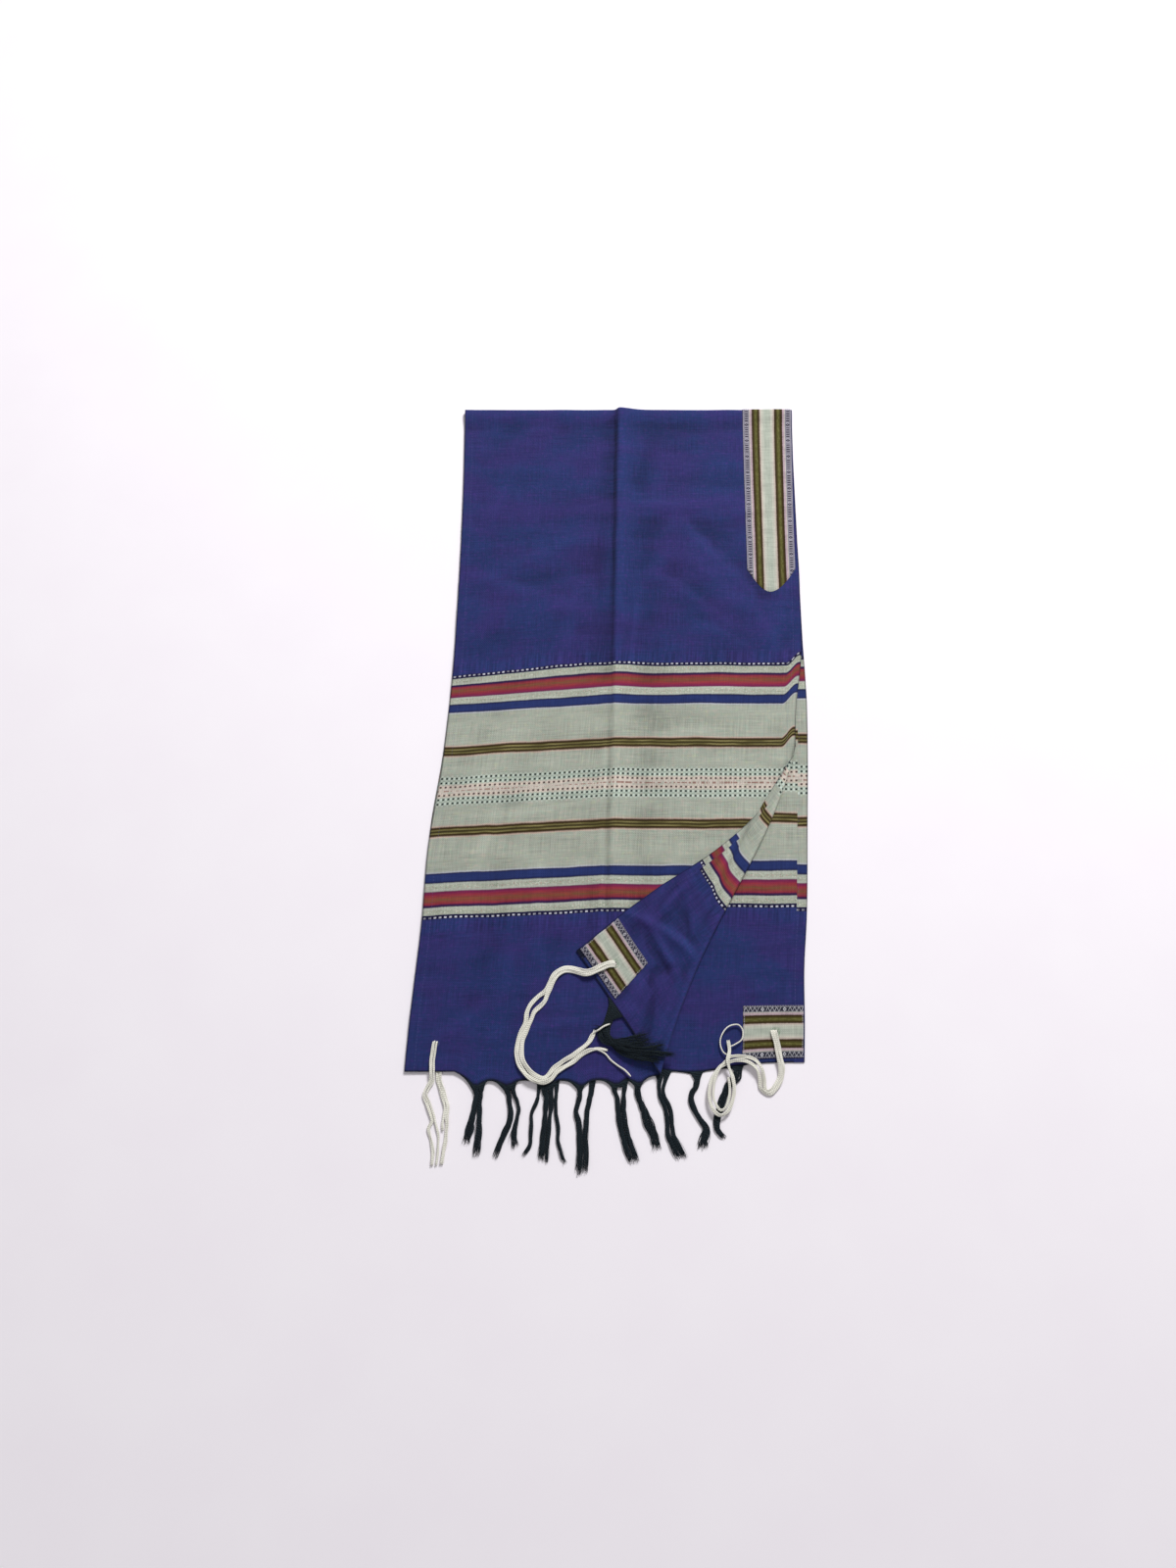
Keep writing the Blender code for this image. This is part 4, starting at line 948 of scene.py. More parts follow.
def build_cloth():
    """Middle surface of the three stretches, moved out both ways by half the cloth's thickness."""
    low_across = cloth_columns(np.zeros(1))
    low_across = np.broadcast_to(low_across, (len(lower_rows), low_across.shape[1]))
    low_along = lower_rows[:, None]
    low = lower_point(low_across, low_along)
    low_out = facing(lower_point, low_across, low_along)
    low_out = -low_out * np.sign(low_out[..., 2:])
    turn = fold_rows[:, None]
    bend_across = np.broadcast_to(low_across[:1], (len(fold_rows), low_across.shape[1]))
    bend = fold_point(bend_across, turn)
    bend_out = np.stack(np.broadcast_arrays(np.zeros_like(bend[..., 0]), np.sin(turn), -np.cos(turn)),
                        axis=-1)
    up_across = cloth_columns(upper_rows)
    up_along = upper_rows[:, None]
    up = upper_point(up_across, up_along)
    up_out = facing(upper_point, up_across, up_along)
    middle = np.concatenate([low, bend, up])
    out = np.concatenate([low_out, bend_out, up_out])
    across = np.concatenate([low_across, bend_across, up_across])
    signed = np.concatenate([
        np.broadcast_to(-low_along, low_across.shape),
        np.broadcast_to((turn / np.pi - 0.5) * 4.0, bend_across.shape),
        np.broadcast_to(up_along, up_across.shape),
    ])
    from_edge = np.minimum(across, WIDTH - across)
    folded = 0.5 * (1 - np.tanh((from_edge - HEM) / 0.6))
    stitch_line = 0.14 * np.exp(-((from_edge - 11.0) / 0.8) ** 2)
    half = THIN + HEM_EXTRA * folded
    outer = middle + out * (half - stitch_line)[..., None]
    inner = middle - out * half[..., None]
    places = np.stack([across, signed], axis=-1) * 0.001
    uv = np.concatenate([places, places + [1.0, 0.0]])
    points = np.concatenate([outer.reshape(-1, 3), inner.reshape(-1, 3)])
    wide = blurred(middle[..., 2], 7)
    raised = np.clip(blurred(middle[..., 2], 1) - wide, -HOLLOW_LIMIT, HOLLOW_LIMIT) / HOLLOW_LIMIT
    # The foot of the pressed crease gets extra painted shade.
    raised = raised - 2.0 * crease_shade(middle[..., 0], middle[..., 1])
    return points, shell_faces(*across.shape), uv, np.concatenate([raised.ravel()] * 2)


cloth_points, cloth_faces, cloth_uv, cloth_raised = build_cloth()
shawl = make_piece("shawl_woven_cloth", cloth_points, cloth_faces, cloth_finish, cloth_uv, sharp=50)
shawl.data.attributes.new("raised", "FLOAT", "POINT").data.foreach_set("value", cloth_raised)
print("creases: shade from", cloth_raised.min(), "to", cloth_raised.max())
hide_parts("shawl_cloth")

# %% [markdown]
# ## The neckband and the corner patches
#
# A weaver makes the band and the patches from one narrow strip: grey-white in the middle, an olive
# stripe with a yellow yarn on each side, a rose line, and a small patterned border. The strip is
# turned under at its edges and sewn down. Here each is a grid of the cloth's own points, moved out by
# its thickness, which falls away at the rim as a turned edge does.


# %% Finish of the band cloth
def band_cloth_finish(name, swap, border, mark, ends=None, eyelet=None):
    """Stripes by the share of the strip's width, a charted border, glints, stitches and weave."""
    made = Finish(name, sheen=0.04)
    share, run = made.cloth_places()
    if swap:
        share, run = run, share
    fray = made.noise(share, run, 30.0, 900.0, 2.0)
    place = made.math("ADD", share, made.math("MULTIPLY", made.math("SUBTRACT", fray, 0.5), 0.02))
    rim = colour(64, 60, 84)
    white = colour(194, 192, 180)
    green = colour(174, 181, 168)
    rose_lilac = colour(180, 158, 166)
    pale_rose = colour(188, 170, 160)
    stops = [
        (0.0, rim), (0.018, border), (0.128, border), (0.136, white), (0.150, rose_lilac),
        (0.178, rose_lilac), (0.192, UMBER), (0.215, UMBER), (0.240, OLIVE), (0.268, STRAW),
        (0.295, OLIVE), (0.318, UMBER), (0.338, UMBER), (0.352, pale_rose), (0.385, white),
        (0.450, green), (0.540, green), (0.600, white), (0.636, pale_rose), (0.652, UMBER),
        (0.675, UMBER), (0.700, OLIVE), (0.728, STRAW), (0.756, OLIVE), (0.780, UMBER),
        (0.805, UMBER), (0.820, rose_lilac), (0.848, rose_lilac), (0.862, white), (0.872, border),
        (0.978, border), (1.0, rim),
    ]
    shade = made.ramp(place, stops)
    # Border chart over a pitch of 26 mm: short bars or a zigzag, then a lozenge between thin lines.
    motif_run = made.repeat(run, 0.0260)
    chart_here = made.band(motif_run, 0.36, 0.33, 0.02)
    bar_run = made.repeat(run, 0.00361)
    zigzag = made.math("ABSOLUTE", made.math("SUBTRACT", made.repeat(run, 0.0052), 0.5))
    zigzag = made.math("MULTIPLY", made.math("SUBTRACT", zigzag, 0.25), 0.17)
    for middle in (0.078, 0.925):
        off = made.math("SUBTRACT", share, middle)
        if ends is None:
            chart = made.math("MULTIPLY", made.band(bar_run, 0.5, 0.20, 0.10),
                              made.band(off, 0.0, 0.028, 0.008))
        else:
            chart = made.band(made.math("SUBTRACT", off, zigzag), 0.0, 0.006, 0.008)
        bar = made.math("MULTIPLY", chart, chart_here)
        away = made.math("MULTIPLY", made.math("ABSOLUTE", off), 1.9)
        reach = made.math("ABSOLUTE", made.math("SUBTRACT", motif_run, 0.86))
        size = made.math("ADD", away, reach)
        lozenge = made.math("MULTIPLY", made.ease(size, 0.075, 0.095, 1.0, 0.0), made.ease(size, 0.02, 0.04))
        shade = made.mix(made.math("MAXIMUM", bar, lozenge), shade, mark)
        for side in (-0.044, 0.044):
            beads = made.math("MULTIPLY", made.band(off, side, 0.004, 0.005),
                              made.band(made.repeat(run, 0.0018), 0.5, 0.25, 0.12))
            shade = made.mix(made.math("MULTIPLY", beads, 0.7), shade, mark)
    # Two wavy yellow-green yarns in each olive stripe.
    for middle, seed in ((0.256, 6.0), (0.286, 7.0), (0.716, 8.0), (0.744, 9.0)):
        sway = made.math("SUBTRACT", made.noise(share, run, 1.0, 90.0, 1.0, seed), 0.5)
        swayed = made.math("ADD", share, made.math("MULTIPLY", sway, 0.03))
        line = made.band(swayed, middle, 0.004, 0.008)
        glint = made.ease(made.noise(share, run, 8.0, 150.0, 3.0, seed), 0.4, 0.62, 0.0, 0.8)
        shade = made.mix(made.math("MULTIPLY", line, glint), shade, colour(112, 108, 64))
    # Sewing stitches just inside the turned edges.
    seams = [made.band(share, 0.014, 0.004, 0.004), made.band(share, 0.986, 0.004, 0.004)]
    stitch = made.math("MULTIPLY", made.math("MAXIMUM", *seams),
                       made.band(made.repeat(run, 0.003), 0.5, 0.28, 0.1))
    if ends is not None:
        sides = [made.band(run, end, 0.0003, 0.0003) for end in ends]
        cross = made.band(made.repeat(share, 0.045), 0.5, 0.28, 0.1)
        stitch = made.math("MAXIMUM", stitch, made.math("MULTIPLY", made.math("MAXIMUM", *sides), cross))
    shade = made.mix(made.math("MULTIPLY", stitch, 0.6), shade, colour(176, 172, 188))
    if ends is not None:
        # The worked hole: a ring of stitches round a dark spot of painted shade.
        hole = made.node("ShaderNodeCombineXYZ", {
            0: made.math("MULTIPLY", made.math("SUBTRACT", share, eyelet[0]), PATCH_ALONG * 0.001),
            1: made.math("SUBTRACT", run, eyelet[1])})
        away = made.node("ShaderNodeVectorMath", {0: hole.outputs[0]}, operation="LENGTH").outputs["Value"]
        ring = made.math("MULTIPLY", made.band(away, 0.0044, 0.0010, 0.0006),
                         made.ease(made.noise(share, run, 40.0, 700.0, 1.0, 12.0), 0.4, 0.6))
        shade = made.mix(made.math("MULTIPLY", ring, 0.7), shade, colour(118, 146, 116))
        shade = made.mix(made.ease(away, 0.0020, 0.0030, 1.0, 0.0), shade, colour(30, 34, 36))
    weft = made.noise(share, run, 3.0, 1200.0, 3.0, 1.0)
    warp = made.noise(share, run, 90.0, 30.0, 3.0, 5.0)
    slow = made.noise(share, run, 5.0, 60.0, 3.0, 15.0)
    tone = made.math("ADD", made.ease(weft, 0.25, 0.75, -0.14, 0.14),
                     made.ease(warp, 0.25, 0.75, -0.14, 0.14))
    tone = made.math("ADD", tone, made.ease(slow, 0.3, 0.7, -0.07, 0.07))
    made.paint(made.lit(shade, tone))
    made.rough(share, run, 0.7, 0.92)
    made.woven_bump(made.math("MULTIPLY", share, 0.07), run, 0.0011, 0.0004, 0.55)
    return made.material


PATCH_ACROSS = 71.0
PATCH_ALONG = 64.0
PATCH_FROM_NECK = 1.5
PATCH_FROM_FRINGE = 5.0
patch_ends = ((WIDTH - PATCH_FROM_NECK - PATCH_ACROSS + 1.2) * 0.001, (WIDTH - PATCH_FROM_NECK - 1.2) * 0.001)
band_finish = band_cloth_finish("band_cloth", False, colour(150, 146, 158), colour(34, 30, 50))
patch_finish = band_cloth_finish("patch_cloth", True, colour(44, 44, 58), colour(186, 186, 192),
                                 patch_ends, (0.503, 0.428))
turned_patch_finish = band_cloth_finish("turned_patch_cloth", True, colour(58, 56, 70), colour(176, 174, 182),
                                        patch_ends, (0.583, 0.419))
print("band finish has", len(band_finish.node_tree.nodes), "nodes")

# %% [markdown]
# ## The neckband
#
# The band is a grid of its own, laid on the cloth's points and lifted by its thickness. Its first rows
# go round the far fold. The rows curve more and more towards the other end, and the last one is the
# outline of the blunt point, so nothing has to be cut.

# %% Build the neckband
BAND = np.array([(0, 70.0, 1.0), (130, 69.5, 2.0), (253, 70.5, 5.0)])
BAND_SIDE_END = 253.0
BAND_POINT = np.array([(0, 0), (0.16, 17), (0.38, 32), (0.5, 34), (0.62, 31), (0.84, 16), (1, 0)])
BAND_FOLD_ANGLES = np.pi * np.array([0.5, 0.58, 0.66, 0.74, 0.82, 0.9])
BAND_THICK = 0.85


def rim_share(rows, columns, width, length, edge):
    """Thickness near a turned edge: a quarter round, the root of 1 - (1 - distance / edge)^2."""
    from_side = np.minimum(columns, 1 - columns) * width
    from_end = np.minimum(rows, 1 - rows) * length
    near = np.clip(np.minimum.outer(from_end, from_side) / edge, 0, 1)
    return np.sqrt(1 - (1 - near) ** 2)


def laid_shell(name, middle, out, thick, uv, finish, gap):
    """A thin piece that lies on the cloth: its lower face a gap away, its upper face above that."""
    low = middle + out * gap
    high = middle + out * (gap + thick[..., None])
    points = np.concatenate([high.reshape(-1, 3), low.reshape(-1, 3)])
    faces = shell_faces(*middle.shape[:2])
    return make_piece(name, points, faces, finish, np.concatenate([uv.reshape(-1, 2)] * 2), sharp=60)


def build_neckband():
    """Rows that start round the far fold and end along the blunt point's outline."""
    share = 0.5 - 0.5 * np.cos(np.pi * np.linspace(0, 1, 33))
    angle = BAND_FOLD_ANGLES[:, None]
    bend_across = WIDTH - BAND[0, 1] + share * (BAND[0, 1] - BAND[0, 2]) + 0 * angle
    bend = fold_point(bend_across, angle)
    bend_out = np.stack(np.broadcast_arrays(0 * bend[..., 0], np.sin(angle), -np.cos(angle)), axis=-1)
    point = smooth_table(BAND_POINT, 1, share)
    part = np.linspace(0, 1, 110)[:, None]
    along = part * (BAND_SIDE_END + point * part ** 3)
    left = WIDTH - np.interp(along, BAND[:, 0], BAND[:, 1])
    right = WIDTH - np.interp(along, BAND[:, 0], BAND[:, 2])
    across = left + share * (right - left)
    middle = np.concatenate([bend, upper_point(across, along)])
    out = np.concatenate([bend_out, facing(upper_point, across, along)])
    rows = np.concatenate([[0.5] * len(angle), 0.5 + 0.5 * part[:, 0]])
    thick = 0.15 + BAND_THICK * rim_share(rows, share, 69.0, 520.0, 1.6)
    run = np.concatenate([(BAND_FOLD_ANGLES / np.pi - 1)[:, None] * 9.0 + 0 * share, along]) * 0.001
    uv = np.stack([np.broadcast_to(share, run.shape), run], axis=-1)
    return laid_shell("neckband_woven", middle, out, thick, uv, band_finish, THIN + 0.12)


neckband = build_neckband()
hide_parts("neckband")
print("neckband has", len(neckband.data.polygons), "faces")

# %% [markdown]
# ## The corner patches
#
# A patch is a small square sheet on the inside of the cloth. Each one takes its points from the corner
# it is sewn to, so it turns over with that corner and needs no place of its own.


# %% Build the two corner patches
def build_patch(name, point, finish):
    """A square grid of the corner's own points, moved out on the side that faces up."""
    share = 0.5 - 0.5 * np.cos(np.pi * np.linspace(0, 1, 41))
    across = WIDTH - PATCH_FROM_NECK - PATCH_ACROSS * (1 - share)[None, :]
    along = HALF_LENGTH - PATCH_FROM_FRINGE - PATCH_ALONG * (1 - share)[:, None]
    across, along = np.broadcast_arrays(across, along)
    out = facing(point, across, along)
    out = out * np.sign(out[..., 2:])
    thick = 0.15 + BAND_THICK * rim_share(share, share, PATCH_ACROSS, PATCH_ALONG, 1.6)
    uv = np.stack([across * 0.001, np.broadcast_to(share[:, None], across.shape)], axis=-1)
    return laid_shell(name, point(across, along), out, thick, uv, finish, THIN + 0.3)


patch_right = build_patch("corner_patch_right_woven", lower_point, patch_finish)
patch_turned = build_patch("corner_patch_turned_woven", upper_point, turned_patch_finish)
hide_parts("corner_patch_right")
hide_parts("corner_patch_turned")
print("each patch has", len(patch_right.data.polygons), "faces")

# %% [markdown]
# ## Fringe
#
# The fringe is the cloth's own black warp. Groups of warp ends are gathered into a tooth and twisted
# together, and their cut tips open like a brush. Each bundle here is made of fine tubes. They
# start spread along the cloth's edge, meet at the neck of the tooth, turn round each other along the
# route, and splay at the tip. All tubes of one fringe are worked out as one array.


# %% Smooth paths and tubes
def smooth_path(controls, steps):
    """Points on cubic curves through control points, the same number between any two."""
    controls = np.asarray(controls, float)
    count = controls.shape[-2]
    slopes = np.gradient(controls, axis=-2)
    where = np.linspace(0, count - 1, steps)
    left = np.minimum(where.astype(int), count - 2)
    part = (where - left)[:, None]
    near = (1 + 2 * part) * (1 - part) ** 2 * controls[..., left, :]
    far = part ** 2 * (3 - 2 * part) * controls[..., left + 1, :]
    turn = part * (1 - part) ** 2 * slopes[..., left, :] + part ** 2 * (part - 1) * slopes[..., left + 1, :]
    return near + far + turn


def level_frames(paths):
    """For each point: the level direction square to the path, and the one square to both."""
    ahead = np.gradient(paths, axis=-2)
    ahead /= np.linalg.norm(ahead, axis=-1, keepdims=True) + 1e-9
    side = np.stack([-ahead[..., 1], ahead[..., 0], 0 * ahead[..., 0]], axis=-1)
    side /= np.linalg.norm(side, axis=-1, keepdims=True) + 1e-9
    return side, np.cross(ahead, side)


def tubes(paths, radii, sides):
    """Rings of points round many paths at once, the quads between them and a cap at each end."""
    side, up = level_frames(paths)
    angle = 2 * np.pi * np.arange(sides) / sides
    ring = np.cos(angle)[:, None] * side[..., None, :] + np.sin(angle)[:, None] * up[..., None, :]
    points = paths[..., None, :] + ring * radii[..., None, None]
    count, steps = paths.shape[:2]
    index = np.arange(count * steps * sides).reshape(count, steps, sides)
    after = np.roll(index, -1, axis=2)
    quads = np.stack([index[:, :-1], after[:, :-1], after[:, 1:], index[:, 1:]], axis=-1).reshape(-1, 4)
    caps = np.concatenate([index[:, 0, ::-1], index[:, -1, :]])
    run = np.concatenate([np.zeros((count, 1)), np.cumsum(
        np.linalg.norm(np.diff(paths, axis=1), axis=-1), axis=1)], axis=1)
    around = np.broadcast_to(np.arange(sides) / sides, (count, steps, sides))
    along = np.broadcast_to(run[..., None] + 977.0 * np.arange(count)[:, None, None], around.shape)
    uv = np.stack([around, along * 0.001], axis=-1)
    return points.reshape(-1, 3), quads.tolist() + caps.tolist(), uv.reshape(-1, 2)


def joined(parts):
    """Several sets of points, faces and UV places as one."""
    points, faces, uv = [], [], []
    start = 0
    for some_points, some_faces, some_uv in parts:
        points.append(some_points)
        faces += [[corner + start for corner in face] for face in some_faces]
        uv.append(some_uv)
        start += len(some_points)
    return np.concatenate(points), faces, np.concatenate(uv)


print("tube tools ready")

# %% [markdown]
# ## Twisted yarn
#
# A tube looks twisted when slanted bands run round it. The finish adds the distance along the yarn to
# the distance round it, so each band climbs as it goes, and a sine of that sum makes the plies. Its dark
# colour is the yarn in painted shade and its light colour a painted highlight, mixed by the plies' bands
# and by noise. Fine noise along the yarn stands for its loose fibres.


# %% Finish of yarns and cords
def yarn_finish(name, dark, light, ply, sheen, turn):
    """Twisted fibre: slanted bands by distance along plus share round, over slow changes of tone."""
    made = Finish(name, sheen=sheen)
    around, along = made.cloth_places()
    slant = made.math("ADD", made.math("DIVIDE", along, ply), made.math("MULTIPLY", around, turn))
    wave = made.math("SINE", made.math("MULTIPLY", slant, 2 * np.pi))
    fibres = made.noise(around, along, 14.0, 700.0, 3.0)
    slow = made.noise(around, along, 0.2, 25.0, 2.0, 5.0)
    share = made.math("ADD", made.math("MULTIPLY", wave, 0.16), made.math("MULTIPLY", fibres, 0.5))
    share = made.math("ADD", share, made.math("MULTIPLY", slow, 0.5))
    # The dark colour is the yarn in painted shade, the light one a painted highlight; bands and noise mix
    # them.
    shade = made.mix(made.ease(share, 0.2, 0.85), dark, light)
    made.paint(shade)
    made.rough(around, along, 0.6, 0.85)
    height = made.math("ADD", wave, made.math("MULTIPLY", fibres, 1.5))
    bump = made.node("ShaderNodeBump", {"Strength": 0.5, "Distance": 0.0003, "Height": height})
    made.tree.links.new(bump.outputs[0], made.shader.inputs["Normal"])
    return made.material


# Each yarn: its colour in painted shade, then with a painted highlight.
fringe_finish = yarn_finish("fringe_yarn", colour(9, 12, 17), colour(32, 46, 54), 0.0028, 0.05, 1.0)
cord_finish = yarn_finish("white_cord", colour(208, 206, 192), colour(247, 245, 237), 0.0024, 0.05, 1.0)
print("yarn finishes:", fringe_finish.name, cord_finish.name)

# %% [markdown]
# ## Where the bundles lie
#
# Each bundle has a few given points: where it leaves the edge, where it bends and where it
# ends. Smooth curves join them.

# %% Routes of the fringe bundles
# Each row: distance across of the root, half width there, and the points that it passes, as x, y
# and half width. Where it slips beneath an edge or lies on the cloth, they are x, y, z and half width.
UPPER_STRIP_ENDS = (56, 286)
UPPER_YARNS = (
    (82, 2.9, ((-129.5, -380, 2.6), (-131, -396, 2.7), (-134, -415, 4.0), (-139.5, -436, 4.8))),
    (89.5, 2.9, ((-123.7, -380, 2.4), (-124.7, -396, 2.6), (-124.7, -417, 3.2), (-126.5, -450, 3.8))),
    (117.5, 3.0, ((-93, -379, 2.9), (-90.5, -392, 2.7), (-89, -409, 2.6), (-95.5, -425, 3.6),
                  (-106, -452, 3.2))),
    (125, 2.6, ((-86.3, -379, 2.2), (-82, -389, 1.9), (-79.5, -400, 1.9), (-82, -412, 2.0),
                (-84.7, -425, 3.3), (-84.2, -441, 3.8))),
    (162, 3.4, ((-49.2, -380, 3.1), (-48.4, -396, 2.6), (-50, -415, 2.6), (-52, -437, 2.7),
                (-53, -455, 3.0))),
    (169.5, 2.8, ((-42.6, -380, 2.5), (-42.6, -396, 2.2), (-44.3, -415, 2.0), (-46.2, -437, 2.2),
                  (-47, -456, 1.8))),
    (203.5, 2.9, ((-9.5, -378, 2.7), (-10.5, -388, 2.6), (-13.5, -401, 2.6), (-10.5, -414, 2.7),
                  (-9.6, -428, 3.2), (-9.6, -450, 3.2), (-10.6, -469, 3.4))),
    (243.5, 2.8, ((30.7, -378, 2.6), (34, -388, 2.7), (34.8, -404, 2.7), (38.2, -422, 2.7),
                  (43, -439, 2.8), (49, -457, 2.9))),
    (254, 2.6, ((42, -376, 2.4), (40.7, -388, 2.5), (41, -404, 2.6), (44.5, -422, 2.6),
                (49.6, -439, 2.7), (55.8, -456, 2.8))),
    (270.5, 3.4, ((57.5, -380, 3.2), (61.5, -393, 3.8), (68, -411, 4.9), (75.5, -428, 5.4),
                  (79, -443, 4.4))),
)
LOWER_STRIP_ENDS = (62, 402)
LOWER_YARNS = (
    (155, 1.8, ((-57, -377, 0.7, 1.8), (-59, -389, 1.4, 1.8), (-64.5, -403, 1.4, 1.8),
                (-65, -420, 1.4, 1.7), (-66, -437, 1.4, 1.8), (-73.5, -449, 1.4, 2.0))),
    (175, 1.8, ((-36.5, -377, 0.7, 1.8), (-37, -389, 1.4, 1.8), (-36.5, -404, 1.4, 1.8),
                (-34.5, -418, 1.4, 1.8), (-34, -434, 1.4, 1.8), (-30.5, -447, 1.4, 1.9),
                (-26.5, -457, 1.4, 2.0))),
    (217, 2.8, ((4, -377, 0.7, 2.8), (1.5, -389, 1.4, 2.7), (-1, -404, 1.4, 2.7),
                (-2.5, -420, 1.4, 2.7), (-2.5, -441, 1.4, 2.9), (-3.2, -468, 1.4, 2.9))),
    (296.5, 2.1, ((82, -374, 2.0), (83.3, -385, 1.9), (88.7, -397, 1.9), (90.7, -413, 2.1),
                  (91, -427, 2.5), (97.5, -441, 2.8), (103, -452, 2.8))),
    (302, 2.1, ((87, -374, 2.0), (88.3, -385, 1.9), (94, -397, 1.9), (96, -413, 2.1),
                (97.3, -427, 2.4), (104.5, -441, 2.6), (110, -451, 2.6))),
    (338.5, 3.6, ((124.5, -372, 3.3), (120, -380, 3.0), (119, -390, 2.9), (124, -402, 3.0),
                  (130.5, -412, 3.2), (134.5, -421, 4.0), (131.5, -432, 5.0), (128.5, -442, 6.2))),
    (386, 6.0, ((171, -361, 5.6), (162.5, -371, 4.2), (156.5, -383, 4.2), (153.5, -395, 4.6),
                (148.5, -407, 4.0), (147.5, -418, 3.4), (151.5, -426, 2.8), (155, -430, 2.4))),
)
# The yarns of the turned corner lie on the cloth.
TURNED_STRIP_ENDS = (396, 377)
TURNED_YARNS = (
    (391.5, 1.6, ((25, -283, 5.0, 1.4), (20, -300, 5.0, 1.8), (14, -314, 5.2, 2.6), (21, -322, 6.6, 3.4),
                  (38, -325, 8.6, 3.0), (56, -325, 10.2, 2.8), (74, -320, 11.0, 2.2))),
    (389, 1.6, ((26, -290, 5.0, 1.6), (19, -304, 5.0, 2.0), (9, -312, 5.2, 2.2))),
    (386.5, 2.4, ((24, -292, 5.0, 1.4), (19, -306, 5.6, 2.2), (25, -319, 7.2, 3.2), (36, -322, 8.2, 3.2),
                  (52, -319, 9.5, 2.8), (70, -314, 10.8, 2.2))),
    (384, 2.4, ((25, -294, 5.0, 1.4), (21, -310, 5.8, 2.4), (30, -323, 7.4, 3.2), (46, -330, 9.2, 3.4),
                (70, -330, 11.0, 2.8), (90, -325, 11.6, 1.8))),
    (381.5, 2.4, ((26, -296, 5.0, 1.4), (22, -313, 5.4, 2.4), (34, -328, 6.4, 3.0), (58, -335, 9.5, 3.2),
                  (80, -336, 11.2, 2.6), (102, -338, 11.6, 1.8))),
    (379.5, 2.2, ((27, -298, 5.0, 1.4), (24, -316, 5.2, 2.2), (38, -333, 5.8, 2.8), (60, -341, 9.0, 2.8),
                  (84, -344, 11.2, 2.0))),
)
print("bundles:", len(UPPER_YARNS), len(LOWER_YARNS), len(TURNED_YARNS))

# %% [markdown]
# ## The three fringes
#
# Yarns start spread along the edge, gather where their bundle begins, turn round one another and stray
# at the tip. The straying grows with the cube of the share of the way, so there is almost none at first
# and most of it at the tip. The turned corner's bundles are looser and have more hairs.

# %% Build the three fringes
# Each kind of yarn in a bundle: how many, their radius, and how far their tips stray.
TWISTED = ((16, 0.68, 0.5), (5, 0.2, 1.6))
LOOSE = ((9, 0.52, 1.5), (24, 0.22, 3.2))
# How far yarns start to the left and right of a root, the depth of the strip and of its teeth,
# the reach of a tooth on each side, and the height at which yarns lie on the table.
FAN_LEFT = 9.0
FAN_RIGHT = 5.0
STRIP_DEPTH = 0.5
TOOTH_DEPTH = 7.0
TOOTH_LEFT = 8.0
TOOTH_RIGHT = 3.4
YARN_FLOOR = 1.45


def bundle(route, starts, count, radius, splay, chance):
    """Tubes of one bundle: from their starts on the edge, then turning round the route.

    Sideways place = half width x cos(turn + start angle) x share, upward place the same with a sine.
    The half width comes from the route, and the tips move apart with the cube of the distance run.
    """
    route = np.array([point if len(point) == 4 else (*point[:2], YARN_FLOOR, point[2]) for point in route])
    half = np.concatenate([route[:1, 3], route[:, 3]])
    route = route[:, :3]
    ahead = route[-1] - route[-2]
    ahead /= np.linalg.norm(ahead)
    tips = chance.uniform(-5.0, 1.5, count)
    controls = np.broadcast_to(route, (count, *route.shape)).copy()
    controls[:, -1] += tips[:, None] * ahead
    controls = np.concatenate([starts[:, None, :], controls], axis=1)
    paths = smooth_path(controls, 9 * (controls.shape[1] - 1) + 1)
    side, _ = level_frames(paths)
    steps = np.linspace(0, 1, paths.shape[1])
    gathered = np.clip(steps * (controls.shape[1] - 1), 0, 1)
    gathered = gathered ** 2 * (3 - 2 * gathered)
    open_up = steps ** 3
    angle = 2 * np.pi * (np.arange(count)[:, None] / count + 1.2 * steps)
    share = chance.permutation(np.linspace(0.4, 1.0, count))[:, None]
    wide = np.maximum(1.15 * np.interp(steps, np.linspace(0, 1, len(half)), half) + 0.3 - radius, 0.3)
    drift = chance.normal(0, splay, count)[:, None] * open_up
    sway = 0.3 * np.sin(2 * np.pi * (2.3 * steps + chance.uniform(0, 1, (count, 1))))
    sideways = (wide * np.cos(angle) * share + drift + sway) * gathered
    upward = 0.8 * np.sin(angle) * share * gathered
    paths = paths + side * sideways[..., None]
    lowest = np.minimum(radius + 0.1, paths[..., 2])
    paths[..., 2] = np.maximum(paths[..., 2] + upward, lowest)
    thick = radius * np.clip(1.02 - steps ** 14, 0.3, 1) * np.ones((count, 1))
    return tubes(paths, thick, 5)


